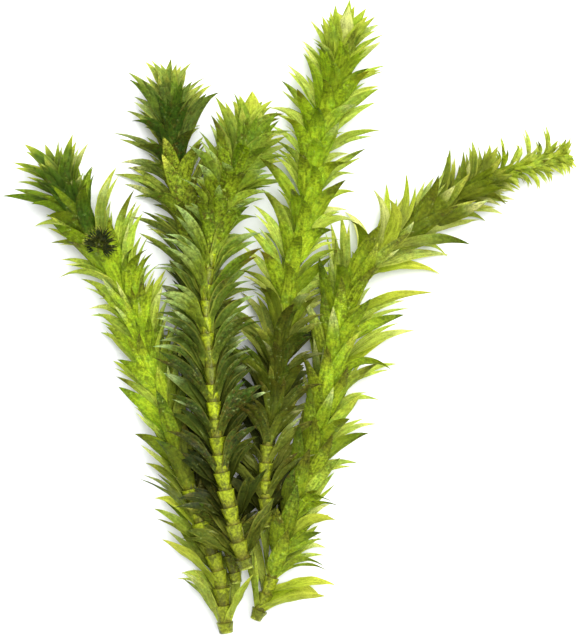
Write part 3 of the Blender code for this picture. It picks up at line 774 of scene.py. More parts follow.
class Leaf:
    """A leaf with its own habit, rooted in a triangle of its whorl. Placing it gives it its corners."""

    def __init__(self, stem, distance, azimuth):
        self.stem = stem
        self.distance = distance
        self.azimuth = azimuth
        self.share = distance / stem.route.length
        stage = staged(stem.growth, self.share)
        vary = stem.random.uniform
        self.length = stage["length"] * vary(*LENGTH_VARIES)
        self.rise = stage["rise"] + vary(-RISE_STRAYS, RISE_STRAYS)
        self.bend = stage["bend"] + vary(-BEND_STRAYS, BEND_STRAYS)
        self.sweep = vary(-SWEEP, SWEEP)
        self.width = LEAF_WIDTH * stem.leaf_size * vary(*WIDTH_VARIES)
        self.in_head = self.share > HEAD_SHARE
        if self.in_head:
            self.width *= HEAD_WIDER
        self.face_up = vary(LEAST_FACE_UP, MOST_FACE_UP)
        self.thickness = max(LEAF_KEEL * self.length, LEAF_KEEL_LEAST)
        self.target = None
        self.corners = None
        across = stem.route.along(distance).cross(stem.around(distance, azimuth))
        upper = distance + WHORL_HEIGHT * stem.leaf_size / 2
        lower = distance - WHORL_HEIGHT * stem.leaf_size / 2
        sides = [stem.rim(upper, azimuth + turn) for turn in (-WHORL_TURN, WHORL_TURN)]
        sides.sort(key=lambda point: point.dot(across))
        self.root = [*sides, stem.rim(lower, azimuth)]

    @property
    def middle(self):
        return (self.corners[0] + self.corners[1]) / 2

    @property
    def tip(self):
        return self.corners[-1]

    def shape(self, tries):
        """The leaf's corners past its root: its left and right edges, its keel and its tip.

        The tries say how it gives way to its neighbours. A leaf that would pass through the surface lies
        along it instead, and one that has a target ends there.
        """
        turn, lean, shortened = tries
        turn = math.radians(turn)
        along = self.stem.route.along(self.distance)
        out = self.stem.around(self.distance, self.azimuth + turn)
        across = along.cross(out).normalized()
        root = self.stem.rim(self.distance, self.azimuth)
        bent_out = self.stem.around(self.distance, self.azimuth + turn + math.radians(self.sweep))
        lower = leaning(along, out, self.rise * lean)
        upper = leaning(along, bent_out, self.bend * lean)
        middle = laid(root, lower, self.length * shortened * LEAF_MIDDLE)
        tip = laid(middle, upper, self.length * shortened * (1 - LEAF_MIDDLE))
        if self.target and shortened == 1:
            tip.xy = self.target
            middle = arched(root, tip, self.length, along)
        way = (tip - root).normalized()
        across = faced_up(across, way, self.face_up)
        below = way.cross(across).normalized()
        if below.dot(out) < 0:
            below.negate()
        keel = middle + below * self.thickness
        side = across * self.width * (1 + shortened) / 4
        corners = [middle - side, middle + side, keel, tip]
        for corner in corners:
            corner.z = max(corner.z, 0)
        if keel.z < middle.z < self.thickness * FLAT_SHARE:
            for corner in corners[:2]:
                corner.z += self.thickness * FLAT_SHARE
        return corners


def leaning(along, out, angle):
    """The way that leans that many degrees from along towards out."""
    angle = math.radians(angle)
    return along * math.cos(angle) + out * math.sin(angle)


def arched(root, tip, length, along):
    """The middle of a leaf that arches from its root to its tip, hollow towards the stem's cut end."""
    span = (tip - root).length
    length = between(length, span * LEAST_ARCH, span * MOST_ARCH)
    lower, upper = length * LEAF_MIDDLE, length * (1 - LEAF_MIDDLE)
    reach = (lower**2 - upper**2 + span**2) / (2 * span)
    way = (tip - root) / span
    rise = (along - way * along.dot(way)).normalized()
    middle = root + way * reach + rise * math.sqrt(max(lower**2 - reach**2, 0))
    middle.z = max(middle.z, TIP_DROP)
    return middle


def faced_up(across, way, share):
    """The way across a leaf's blade once its face has turned up by that share, as in a loose bunch."""
    level = Vector((0, 0, 1)).cross(way)
    if level.dot(across) < 0:
        level.negate()
    turned = across.lerp(level, share)
    return (turned - way * turned.dot(way)).normalized()


def laid(start, way, length):
    """The end of a straight stretch of leaf from start, laid along the surface where it would sink in."""
    end = start + way * length
    if end.z >= TIP_DROP:
        return end
    level = Vector((way.x, way.y, 0))
    drop = start.z - TIP_DROP
    run = math.sqrt(max(length**2 - drop**2, 0))
    return Vector((start.x, start.y, TIP_DROP)) + level.normalized() * run


def leaf_ridges(root, corners):
    """The ridge on each side of a leaf's lower half, from a corner at the root to one at the middle.

    The ridges turn the way that the leaf twists, so that it doesn't pass through itself.
    """
    left, right, _, tip = corners
    way = tip - sum(root, Vector()) / 3
    twist = (root[1] - root[0]).cross(right - left).dot(way)
    return LEAF_SIDES if twist > 0 else [(b, a) for a, b in LEAF_SIDES]


def leaf_tree(root, corners, gap, root_share):
    """A leaf as a tree for finding what it touches, thicker all round by the gap.

    It starts at that share of its lower half, because leaves share their roots' corners with each other.
    """
    left, right, keel, tip = corners
    middle = (left + right) / 2
    across = (right - left).normalized()
    way = (tip - sum(root, Vector()) / 3).normalized()
    below = (keel - middle).normalized()
    wide = [
        left - across * gap - below * gap,
        right + across * gap - below * gap,
        keel + below * gap,
    ]
    start = [near.lerp(far, root_share) for near, far in zip(root, wide)]
    points = [*start, *wide, tip + way * gap]
    faces = [(0, 1, 2)]
    for a, b in leaf_ridges(root, corners):
        faces += [(a, b, b + 3), (a, b + 3, a + 3), (a + 3, b + 3, 6)]
    return BVHTree.FromPolygons(points, faces)


class PlacedLeaf:
    """A leaf that is being placed, as trees for its own stem's leaves and for those of the others."""

    def __init__(self, leaf, corners, gap):
        self.name = leaf.stem.name
        self.whole = leaf_tree(leaf.root, corners, gap, 0)
        self.free = leaf_tree(leaf.root, corners, gap, OWN_ROOT_SHARE)
        left, right, _, tip = corners
        self.middle = (left + right) / 2
        self.reach = (tip - self.middle).length + LEAF_WIDTH

    def touches(self, other):
        if (self.middle - other.middle).length > self.reach + other.reach:
            return False
        if self.name == other.name:
            return bool(self.free.overlap(other.free))
        return bool(self.whole.overlap(other.whole))


def stem_tree(stem):
    """A bare stem as a closed tree for finding what touches it, thicker all round by the gap."""
    points, faces = [], []
    sides = TREE_SIDES
    count = round(stem.route.length / TREE_STEP)
    for index in range(count + 1):
        distance = (stem.route.length + 2 * STEM_GAP) * index / count - STEM_GAP
        centre = stem.route.point(distance)
        for corner in range(sides):
            way = stem.around(distance, math.radians(360 / sides * corner))
            points.append(centre + way * (stem.radius(distance) + STEM_GAP))
    for index in range(count):
        for corner in range(sides):
            a, b = index * sides + corner, index * sides + (corner + 1) % sides
            faces.append((a, b, b + sides, a + sides))
    faces.append(tuple(range(sides)))
    faces.append(tuple(range(count * sides, (count + 1) * sides)))
    return BVHTree.FromPolygons(points, faces)


def place_leaves(stems):
    """Places every leaf so that it touches nothing, and drops those for which there is no room."""
    trees = {stem.name: stem_tree(stem) for stem in stems}
    placed = []
    for stem in stems:
        others = [tree for name, tree in trees.items() if name != stem.name]
        for leaf in sorted(stem.leaves(), key=lambda leaf: leaf.target is None):
            for tries in LEAF_TRIES:
                corners = leaf.shape(tries)
                trial = PlacedLeaf(leaf, corners, LEAF_GAP)
                if not (any(map(trial.whole.overlap, others)) or any(map(trial.touches, placed))):
                    leaf.corners = corners
                    placed.append(PlacedLeaf(leaf, corners, 0))
                    break
        for whorl in stem.whorls:
            whorl.leaves = [leaf for leaf in whorl.leaves if leaf.corners]


def mesh_from(bm, name):
    mesh = bpy.data.meshes.new(name)
    bm.to_mesh(mesh)
    bm.free()
    return mesh


def blade_template():
    """A flat closed blade that every leaf bends to its own curve.

    It runs from its root at y = 0 to its tip at y = 1, and from x = -1 to 1. Its faces are at z = -0.5
    and 0.5.
    """
    bm = bmesh.new()
    bmesh.ops.create_grid(bm, x_segments=2, y_segments=BLADE_ROWS, size=1)
    for vertex in bm.verts:
        vertex.co = (vertex.co.x, (vertex.co.y + 1) / 2, 0.5)
    lower = bmesh.ops.duplicate(bm, geom=bm.faces[:])["geom"]
    faces = [item for item in lower if isinstance(item, bmesh.types.BMFace)]
    bmesh.ops.reverse_faces(bm, faces=faces)
    for item in lower:
        if isinstance(item, bmesh.types.BMVert):
            item.co.z = -0.5
    for vertex in bm.verts:
        at_root, at_tip = vertex.co.y < 0.01, vertex.co.y > 0.99
        if abs(vertex.co.x) > 0.9 or at_root or at_tip:
            vertex.co.z = 0
        if at_tip:
            vertex.co.x = 0
    bmesh.ops.remove_doubles(bm, verts=bm.verts, dist=1e-4)
    uv = bm.loops.layers.uv.new("blade")
    for face in bm.faces:
        for loop in face.loops:
            loop[uv].uv = (loop.vert.co.x / 2 + 0.5, loop.vert.co.y)
    return mesh_from(bm, "blade")


def blade_width(v, bluntness):
    """The half width of a blade at v, as a share of its widest half width."""
    if v < WIDEST_SHARE:
        mix = v / WIDEST_SHARE
        return ROOT_WIDTH + (1 - ROOT_WIDTH) * mix * (2 - mix)
    fall = (v - WIDEST_SHARE) / (1 - WIDEST_SHARE)
    return (1 - fall**bluntness) * (1 - EDGE_TAPER * fall)


class Curve:
    """The midrib of a blade, from inside its leaf's root over the leaf's middle towards its tip."""

    def __init__(self, leaf, fan, reach, vary):
        left, right, _, self.tip = leaf.corners
        self.fan = fan
        self.reach = reach
        self.start = sum(leaf.root, Vector()) / 3
        t = LEAF_MIDDLE * MIDDLE_PULL
        self.bend = (leaf.middle - self.start * (1 - t) ** 2 - self.tip * t**2) / (2 * t * (1 - t))
        self.across = (right - left).normalized()
        self.root_across = (leaf.root[1] - leaf.root[0]).normalized()
        self.twist = vary(-TWIST, TWIST)
        self.sweep = vary(-BLADE_SWEEP, BLADE_SWEEP) * leaf.length
        self.curl = vary(*CURL_VARIES) * TIP_CURL * min(1, leaf.width / LEAF_WIDTH)

    def at(self, v):
        """The midrib's place at v, the way across the blade there, and the way up from its upper face."""
        v *= self.reach
        place = self.start * (1 - v) ** 2 + self.bend * (2 * v * (1 - v)) + self.tip * v**2
        way = ((self.bend - self.start) * (1 - v) + (self.tip - self.bend) * v).normalized()
        across = self.root_across.lerp(self.across, min(1, v / LEAF_MIDDLE))
        across = (across - way * across.dot(way)).normalized()
        across = Matrix.Rotation(self.twist * v, 3, way) @ across
        above = across.cross(way)
        hump = math.sin(math.pi * between((v - CURL_FROM) / (1 - CURL_FROM)))
        side = self.across * (self.sweep * v * v * (1 - v) + self.fan * v)
        lift = self.curl * hump - abs(self.fan) * FAN_SINK * v
        return place + side + above * lift, across, above


def facing_up(leaf):
    """How far up the leaf faces, from 0 at the stem's sides and below to 1 on top of it."""
    axis = leaf.stem.route.point(leaf.distance)
    return between((leaf.middle.z - axis.z) / FACING_UP_HEIGHT)


def marked_tip(leaf):
    """The colour of the mark at which a leaf with a target ends, or None."""
    tip = leaf.tip.to_2d()
    near = [colour for place, colour in MARKED_TIPS if (tip - Vector(place)).length < MARK_REACH]
    return near[-1] if near and leaf.target else None


def fanned_blades(leaf, vary):
    """The blades that grow along a leaf: how far each one fans out, its width and its length."""
    if marked_tip(leaf) in (CREAM, LEMON):
        return SINGLE_BLADE
    if leaf.stem.name == "left_side_bud":
        strays = BUD_FAN_VARIES
        return [(fan + vary(-strays, strays), narrower, reach) for fan, narrower, reach in BUD_FAN]
    tip = leaf.tip.to_2d()
    if leaf.stem.name == "right_tip_shoot":
        chosen = SHOOT_FAN
    elif min((tip - Vector(place)).length for place in GAPS) < GAP_REACH:
        chosen = GAP_FAN
    elif leaf.in_head:
        chosen = HEAD_FAN
    elif leaf.share < CROWDED_TO.get(leaf.stem.name, 0):
        chosen = CROWDED_FAN
    elif facing_up(leaf) < ON_TOP_FROM:
        chosen = SIDE_FAN
    else:
        return SINGLE_BLADE
    side = math.copysign(1, vary(-1, 1))
    return [(fan * side, narrower, reach) for fan, narrower, reach in chosen]


def grow_blade(bm, template, leaf, look, blade, vary):
    """Adds a blade: the template bent along its curve, with the leaf's colours and marks at its corners."""
    fan, narrower, reach = blade
    curve = Curve(leaf, fan, reach, vary)
    left, right, *_ = leaf.corners
    size = min(1, leaf.width / LEAF_WIDTH)
    half_width = (right - left).length / 2 * BLADE_WIDTH * narrower
    half_width *= 1 + (SIDE_WIDTHS[leaf.stem.name] - 1) * (1 - look.on_top)
    half_width *= 1 + HOLLOW_WIDER * look.dark
    bluntness = vary(*BLUNTNESS) + look.on_top * vary(*TOP_BLUNTER) - leaf.in_head * HEAD_POINTIER
    phase = vary(0, math.tau)
    waves = vary(*WAVES)
    seed = vary(0, 1)
    first = len(bm.verts)
    bm.from_mesh(template)
    bm.verts.ensure_lookup_table()
    colour_layer = bm.verts.layers.float_color["leaf_colour"]
    layers = {name: bm.verts.layers.float[name] for name in LEAF_MARKS}
    rows = {}
    for vertex in bm.verts[first:]:
        u, v, side = vertex.co
        key = round(v, 3)
        if key not in rows:
            rows[key] = curve.at(v), look.colour(v), look.mottle(v), blade_width(v, bluntness)
        (place, across, above), colour, mottle, width = rows[key]
        clasp = CLASP * size * between(1 - v / CLASP_SHARE)
        channel = (CHANNEL * half_width * width + clasp) * u * u
        wave = WAVE_HEIGHT * size * math.sin(waves * math.tau * v + phase + u) * u
        lift = side * BLADE_THICKNESS * size - channel + wave * width
        vertex.co = place + across * (u * half_width * width) + above * lift
        vertex.co.z = max(vertex.co.z, FLOOR_CLEARANCE + side * FLAT_THICKNESS)
        vertex[colour_layer] = (*colour, 1)
        for name, value in zip(LEAF_MARKS, (seed, mottle, look.pale_edge, look.through)):
            vertex[layers[name]] = value


def mixed(first, second, share):
    """The colour that lies that share of the way from the first one to the second."""
    return Vector(first).lerp(Vector(second), share)


def blended(stages, share):
    """The colour at that share of the way along the stages."""
    for (start, before), (end, after) in zip(stages, stages[1:]):
        if share <= end:
            return mixed(before, after, (share - start) / (end - start))
    return Vector(stages[-1][1])


def hollow(place):
    """How deep in the painted shade of the bunch a leaf lies, from 0 to 1."""
    deepest = 0
    for middle, reach, dark in SHADED_HOLLOWS:
        off = [(place[axis] - middle[axis]) / reach[axis] for axis in range(2)]
        deepest = max(deepest, dark * math.exp(-(off[0] ** 2 + off[1] ** 2)))
    return min(1, deepest)


class LeafLook:
    """A blade's colour from its root to its tip, its mottling, and how much light it lets through.

    Leaves that face up are bright at their roots and darken to their tips, partly as painted shade where a
    tip lies over the next leaf. Leaves at the sides are painted paler, as painted light through them from
    the floor, and those deep in the bunch are painted dark as shade, partly also as old leaves.
    """

    def __init__(self, leaf, vary):
        name = leaf.stem.name
        self.on_top = facing_up(leaf)
        # Painted shade: a leaf deep in the bunch goes towards deep green, its root towards deep olive, and
        # it lets less light through.
        self.dark = hollow(leaf.middle) * (1 - HOLLOW_SPARES_TOP * self.on_top)
        light = 1 - self.dark
        green = blended(LEAF_GREENS[name], between(leaf.share + vary(-GREEN_STRAYS, GREEN_STRAYS)))
        # Painted light: leaves at the sides go towards pale green, as if lit through from the floor below.
        green = mixed(green, PALE_GREEN, PAINTED_SIDE_LIGHT[name][leaf.in_head] * (1 - self.on_top) * light)
        self.green = mixed(green, DEEP_GREEN, self.dark) * vary(*BRIGHTNESS)
        root_paler = 0 if leaf.in_head else ROOT_PALER
        root = mixed(self.green, YELLOW_GREEN, root_paler * light) * ROOT_BRIGHTER
        self.root = mixed(root, DEEP_OLIVE, HOLLOW_ROOT_DARKER * self.dark)
        self.root_end = ROOT_END + HOLLOW_ROOT_LONGER * self.dark
        self.tip = self.green
        self.tip_start = vary(*TIP_STARTS)
        mottle = MOTTLES[name] * (LEAST_MOTTLE + TOP_MOTTLE * self.on_top)
        if leaf.in_head:
            mottle *= HEAD_MOTTLE
        self.base_mottle = between(mottle + vary(-MOTTLE_STRAYS, MOTTLE_STRAYS))
        self.tip_mottle = self.base_mottle
        self.pale_edge = (1 - self.on_top) * light * vary(*PALE_EDGE)
        self.through = vary(*LIGHT_THROUGH) * (1 - HOLLOW_BLOCKS * self.dark)
        if name == "left_side_bud":
            self.colour_bud_leaf(leaf, vary)
        else:
            self.colour_tip(leaf, light, vary)
            self.colour_mark(marked_tip(leaf))

    def end_in(self, colour, share, start):
        """Makes the leaf take up that share of a colour from start to its tip."""
        self.tip = mixed(self.green, colour, share)
        self.tip_start = start

    def colour_bud_leaf(self, leaf, vary):
        """The bud is dark all over, apart from the tips of its leaves up and to its left."""
        self.pale_edge = 0
        self.through = BUD_THROUGH
        beside = (leaf.tip - leaf.stem.end).to_2d()
        if beside.x < 0 < beside.y and beside.length > BUD_PALE_FROM:
            self.end_in(LEMON, 1, vary(*BUD_TIP_STARTS))

    def colour_tip(self, leaf, light, vary):
        """Gives the leaf a tip: lemon in a crown, often dark on top, and often pale elsewhere."""
        kind = vary(0, 1)
        past_end = (leaf.tip - leaf.stem.end).dot(leaf.stem.route.along(leaf.stem.route.length))
        if leaf.in_head and past_end > CROWN_REACH:
            self.end_in(LEMON, CROWN_TIP_SHARE, vary(*TIP_STARTS))
        elif leaf.in_head and self.on_top > ON_TOP_FROM:
            self.tip_mottle = HEAD_TIP_MOTTLE
        # Partly painted shade: leaves on top often darken to bottle green or olive brown at their tips,
        # where they lie over the next leaf.
        elif kind < DARK_TIPS * self.on_top:
            dark_colour = BOTTLE_GREEN if vary(0, 1) < 0.5 else OLIVE_BROWN
            self.end_in(dark_colour, vary(*DARK_TIP_SHARE), vary(*DARK_TIP_STARTS))
            self.tip_mottle = DARK_TIP_MOTTLE
        elif leaf.stem.name == "centre_stem" and not leaf.in_head:
            if leaf.share > MINT_FROM and kind > 1 - PALE_TIPS:
                self.end_in(MINT, MINT_TIP_SHARE, vary(*MINT_TIP_STARTS))
        elif kind > 1 - PALE_TIPS:
            pale_colour = CREAM if vary(0, 1) < 0.5 else LEMON
            self.end_in(pale_colour, PALE_TIP_SHARE * light, self.tip_start)

    def colour_mark(self, mark):
        """Lets a leaf whose tip stands out in the bunch end in its own colour."""
        if not mark:
            return
        yellower, share, start, mottle = MARKS[mark]
        if yellower:
            self.green = mixed(self.green, YELLOW_GREEN, yellower)
            self.root = self.green
        self.end_in(mark, share, start)
        self.base_mottle = mottle
        self.tip_mottle = mottle
        self.through = 1

    def towards_tip(self, v):
        mix = between((v - self.tip_start) / (1 - self.tip_start) * TIP_SOONER)
        return mix * mix * (3 - 2 * mix)

    def colour(self, v):
        if v < self.root_end:
            return self.root.lerp(self.green, v / self.root_end)
        return self.green.lerp(self.tip, self.towards_tip(v))

    def mottle(self, v):
        return self.base_mottle + (self.tip_mottle - self.base_mottle) * self.towards_tip(v)


def leaves_mesh(stem, template):
    """All the blades of a stem's leaves, each with its own look."""
    bm = bmesh.new()
    own = random.Random(f"{SEED} looks of {stem.name}")
    bm.verts.layers.float_color.new("leaf_colour")
    for name in LEAF_MARKS:
        bm.verts.layers.float.new(name)
    bm.loops.layers.uv.new("blade")
    for leaf in stem.leaves():
        for blade in fanned_blades(leaf, own.uniform):
            look = LeafLook(leaf, own.uniform)
            grow_blade(bm, template, leaf, look, blade, own.uniform)
    return bm


class Segment:
    """A stretch of stem from one joint to the next, with its own shade, flare and ragged upper rim."""

    def __init__(self, lower, upper, vary):
        self.lower = lower
        self.upper = upper
        self.flare = vary(*SEGMENT_FLARE)
        self.stained = vary(0, 1) ** 2
        self.bright_from = vary(*SEGMENT_BRIGHT_FROM)
        self.bulges = [vary(-1, 1) * SEGMENT_BULGE for _ in range(STEM_SIDES)]
        self.rags = [vary(-1, 1) * RIM_RAG for _ in range(STEM_SIDES)]

    def width(self, part, corner):
        flared = JOINT_NARROW + (JOINT_WIDE * self.flare - JOINT_NARROW) * part**FLARE_POWER
        return flared * (1 + self.bulges[corner] * part)

    def place(self, part, corner):
        """How far along the stem a corner of the ring at that part of the segment is."""
        ragged = self.rags[corner] * between((part - RAGGED_FROM) / (RAGGED_WHOLLY - RAGGED_FROM))
        return self.lower + (self.upper - self.lower) * part + ragged * (part < 1)

    def brown(self, part):
        """How brown the segment is there: most just above its lower joint, and less further up."""
        return SEGMENT_BROWN * between(1 - part / self.bright_from)


def segments(stem, vary):
    """The stem's segments: each joint is at the middle of a whorl."""
    edges = [0.0, *(whorl.distance for whorl in stem.whorls), stem.route.length]
    return [Segment(lower, upper, vary) for lower, upper in zip(edges, edges[1:])]


def segment_colour(stem, segment, part):
    """The stem's colour there: green where it is clean, olive between leaves, and brown above joints."""
    if stem.name == "left_side_bud":
        return Vector(DEEP_OLIVE)
    share = segment.upper / stem.route.length
    clean = share < CLEAN_BASE_SHARE
    clean = clean or any(start < share < end + CLEAN_MARGIN for start, end, _ in stem.bare)
    green = mixed(STEM_BASE_GREEN, STEM_GREEN, between(share / STEM_BASE_SHARE))
    base = mixed(green if clean else STEM_OLIVE, STEM_OLIVE, segment.stained)
    return mixed(base, OLIVE_BROWN, segment.brown(part))


def ring_edges(bm, ring):
    return [bm.edges.get((a, b)) for a, b in zip(ring, ring[1:] + ring[:1])]


def extruded_ring(bm, ring):
    """The ring that the given one is extruded to, with its corners in the same order."""
    made = bmesh.ops.extrude_edge_only(bm, edges=ring_edges(bm, ring))["geom"]
    new = {item for item in made if isinstance(item, bmesh.types.BMVert)}
    return [next(e.other_vert(v) for e in v.link_edges if e.other_vert(v) in new) for v in ring]


def stem_mesh(stem):
    """The stem: a tube that widens from each joint to the next, with a cut end and a pointed tip."""
    bm = bmesh.new()
    colour_layer = bm.verts.layers.float_color.new("stem_colour")
    layers = {name: bm.verts.layers.float.new(name) for name in ("side", "top", "along")}
    step = math.tau / STEM_SIDES
    ring = bmesh.ops.create_circle(bm, cap_ends=True, segments=STEM_SIDES, radius=1)["verts"]
    cut_end = bm.faces[:]
    own = random.Random(f"{SEED} joints of {stem.name}")
    rings = [(segment, part) for segment in segments(stem, own.uniform) for part in JOINT_STEPS]
    for index, (segment, part) in enumerate(rings):
        if index:
            ring = extruded_ring(bm, ring)
        colour = segment_colour(stem, segment, part)
        for corner, vertex in enumerate(ring):
            distance = segment.place(part, corner)
            radius = stem.radius(distance) * segment.width(part, corner)
            vertex.co = stem.route.point(distance) + stem.around(distance, step * corner) * radius
            vertex[colour_layer] = (*colour, 1)
            vertex[layers["side"]] = math.cos(step * corner)
            vertex[layers["top"]] = math.sin(step * corner)
            vertex[layers["along"]] = distance
    cap = bmesh.ops.contextual_create(bm, geom=ring_edges(bm, ring))["faces"]
    bmesh.ops.poke(bm, faces=cap)
    for width, rise in CUT_RINGS:
        made = bmesh.ops.inset_region(
            bm, faces=cut_end, thickness=width, depth=rise, use_even_offset=True,
        )
        for face in made["faces"] + cut_end:
            for vertex in face.verts:
                vertex[colour_layer] = (*CUT_GREEN, 1)
    bmesh.ops.poke(bm, faces=cut_end)
    bmesh.ops.recalc_face_normals(bm, faces=bm.faces)
    return bm


class Field:
    """A number or colour that varies over a surface. Sums on numbers add Math nodes."""

    def __init__(self, finish, socket):
        self.finish = finish
        self.socket = socket

    def maths(self, operation, *values):
        sockets = dict(zip(("Value", "Value_001"), values))
        return self.finish.add("ShaderNodeMath", {"operation": operation}, sockets, "Value")

    def __add__(self, other):
        return self.maths("ADD", self, other)

    def __sub__(self, other):
        return self.maths("SUBTRACT", self, other)

    def __rsub__(self, other):
        return self.maths("SUBTRACT", other, self)

    def __mul__(self, other):
        return self.maths("MULTIPLY", self, other)

    def __abs__(self):
        return self.maths("ABSOLUTE", self)

    def or_more(self, other):
        """The larger of the two."""
        return self.maths("MAXIMUM", self, other)

    __radd__ = __add__
    __rmul__ = __mul__


class Finish:
    """A material in the making, and the one way that nodes are added to it."""

    def __init__(self, name):
        self.material = bpy.data.materials.new(name)
        self.material.use_nodes = True
        self.tree = self.material.node_tree
        self.tree.nodes.clear()

    def add(self, kind, settings, sockets, output=None):
        """Adds a node with its settings and its sockets' values or links. Returns the named output."""
        node = self.tree.nodes.new(kind)
        for name, value in settings.items():
            setattr(node, name, value)
        inputs = {socket.identifier: socket for socket in node.inputs}
        for name, value in sockets.items():
            if isinstance(value, Field):
                self.tree.links.new(value.socket, inputs[name])
            else:
                inputs[name].default_value = value
        outputs = {socket.identifier: socket for socket in node.outputs}
        return Field(self, outputs[output]) if output else node

    def mark(self, name, output="Fac"):
        """One of the marks that the piece's mesh carries at its corners."""
        return self.add("ShaderNodeAttribute", {"attribute_name": name}, {}, output)

    def mix(self, share, first, second, blend="MIX"):
        """The first colour with that share of the second. Each is a Field or a plain colour."""
        first, second = ((*value, 1) if isinstance(value, tuple) else value for value in (first, second))
        sockets = {"Factor_Float": share, "A_Color": first, "B_Color": second}
        settings = {"data_type": "RGBA", "blend_type": blend}
        return self.add("ShaderNodeMix", settings, sockets, "Result_Color")

    def brightened(self, colour, times):
        sockets = {"Vector": colour, "Scale": times}
        return self.add("ShaderNodeVectorMath", {"operation": "SCALE"}, sockets, "Vector")

    def ramp(self, value, start, end):
        """0 below start and 1 above end, with a soft change between them."""
        sockets = {"Value": value, "From Min": start, "From Max": end}
        return self.add("ShaderNodeMapRange", {"interpolation_type": "SMOOTHSTEP"}, sockets, "Result")

    def noise(self, place, scale, detail, roughness):
        sockets = {"Vector": place, "Scale": scale, "Detail": detail, "Roughness": roughness}
        return self.add("ShaderNodeTexNoise", {}, sockets, "Fac")

    def place(self):
        return self.add("ShaderNodeTexCoord", {}, {}, "Object")

    def vector(self, x, y, z):
        return self.add("ShaderNodeCombineXYZ", {}, {"X": x, "Y": y, "Z": z}, "Vector")

    def bump(self, height, distance):
        sockets = {"Height": height, "Distance": distance, "Strength": BUMP_STRENGTH}
        return self.add("ShaderNodeBump", {}, sockets, "Normal")

    def wet_skin(self, colour, roughness, film, normal, ior, gloss):
        """The plant's skin under a film of water, which is as strong as the film's share."""
        sockets = {
            "Base Color": colour, "Roughness": roughness, "IOR": ior, "Specular IOR Level": gloss,
            "Coat Weight": film, "Coat Roughness": FILM_ROUGHNESS, "Coat IOR": WATER_IOR,
            "Normal": normal,
        }
        return self.add("ShaderNodeBsdfPrincipled", {}, sockets, "BSDF")

    def done(self, shader):
        self.add("ShaderNodeOutputMaterial", {}, {"Surface": shader})
        return self.material


def wet_leaf(name, through, through_share, roughness):
    """A thin wet leaf with veins, a pale midrib, pale or worn edges, blotches and light through it."""
    finish = Finish(name)
    blade = finish.add("ShaderNodeUVMap", {"uv_map": "blade"}, {}, "UV")
    parts = finish.add("ShaderNodeSeparateXYZ", {}, {"Vector": blade})
    across, along = (Field(finish, parts.outputs[axis]) for axis in ("X", "Y"))
    seed, mottle, pale_edge, see_through = map(finish.mark, LEAF_MARKS)
    leaf_colour = finish.mark("leaf_colour", "Color")
    from_midrib = abs(across - 0.5) * 2

    place = finish.place()
    clouds, specks, fine, grain = (
        finish.noise(place, *pattern) for pattern in (CLOUDS, SPECKS, FINE_SPECKS, GRAIN)
    )
    veins, streaks = (
        finish.noise(finish.vector(across * crossing, along * running, seed * apart), *pattern)
        for (crossing, running, apart), pattern in ((VEINS_SPACED, VEINS), (STREAKS_SPACED, STREAKS))
    )
    blotches = 0.5 * clouds + 0.5 * specks

    rough = (0.3 + 0.7 * mottle) * (finish.ramp(fine, *ROUGH_FADE) - 0.4)
    shade = PLAIN_SHADE + ROUGH_SHADE * rough + GRAIN_SHADE * (finish.ramp(grain, *GRAIN_FADE) - 0.5)
    shade = shade + STREAK_SHADE * (finish.ramp(streaks, *GRAIN_FADE) - 0.5)
    shade = shade + VEIN_SHADE * (veins - 0.5) + CLOUD_SHADE * (clouds - 0.5)
    colour = finish.brightened(leaf_colour, shade)

    greener = finish.ramp(blotches, *GREENER_FADE) * finish.ramp(mottle, *MOTTLED_FADE)
    colour = finish.mix(GREENER_SHARE * greener, colour, GREENER, "MULTIPLY")
    dense_clouds = finish.ramp(clouds, *DENSE_CLOUDS)
    ochre = finish.ramp(veins, *OCHRE_VEINS) * dense_clouds
    colour = finish.mix(OCHRE_SHARE * ochre, colour, finish.mix(0.5, colour, OCHRE))
    midrib = (1 - finish.ramp(from_midrib, *MIDRIB_FADE)) * (1 - finish.ramp(along, *MIDRIB_END))
    colour = finish.mix(MIDRIB_SHARE * midrib, colour, finish.brightened(leaf_colour, MIDRIB_BRIGHTER))
    patches = finish.ramp(blotches, *PATCH_FADE) * mottle
    colour = finish.mix(PATCH_SHARE * patches, colour, finish.brightened(leaf_colour, PATCH_DARKER))
    stains = finish.ramp(specks, *STAIN_FADE) * mottle
    ragged_edge = finish.ramp(from_midrib + 0.6 * (fine - 0.5), *WORN_EDGE_FADE)
    worn_edge = ragged_edge * mottle * (1 - pale_edge)
    colour = finish.mix(STAIN_SHARE * stains.or_more(worn_edge), colour, OLIVE_BROWN)
    edge = finish.ramp(from_midrib, *PALE_EDGE_FADE) * pale_edge
    colour = finish.mix(PALE_EDGE_SHARE * edge, colour, LEMON)
    rusty = finish.ramp(grain, *RUST_GRAIN) * finish.ramp(specks, *RUST_SPECKS) * mottle
    colour = finish.mix(RUST_SHARE * rusty, colour, RUST_BROWN)
    flecks = finish.ramp(fine, *FLECK_SPECKS) * finish.ramp(grain, *FLECK_GRAIN)
    flecks = flecks * finish.ramp(mottle, *FLECK_MOTTLE)
    colour = finish.mix(FLECK_SHARE * flecks, colour, finish.brightened(leaf_colour, FLECK_BRIGHTER))
    # Painted highlights: pale mint specks where the fine noise and the clouds are high.
    painted_glints = finish.ramp(fine, *GLINT_SPECKS) * dense_clouds
    colour = finish.mix(GLINT_SHARE * painted_glints, colour, MINT)

    uneven = roughness + 0.25 * (specks - 0.5)
    film = 0.25 * finish.ramp(clouds, *FILM_CLOUDS)
    normal = finish.bump(veins + 0.5 * fine, LEAF_BUMP)
    wet = finish.wet_skin(colour, uneven, film, normal, LEAF_IOR, LEAF_GLOSS)
    light_through = finish.add("ShaderNodeBsdfTranslucent", {}, {"Color": (*through, 1)}, "BSDF")
    share = see_through * through_share * (0.7 + 0.6 * fine) * (1 - 0.6 * patches)
    sockets = {"Fac": share, "Shader": wet, "Shader_001": light_through}
    return finish.done(finish.add("ShaderNodeMixShader", {}, sockets, "Shader"))


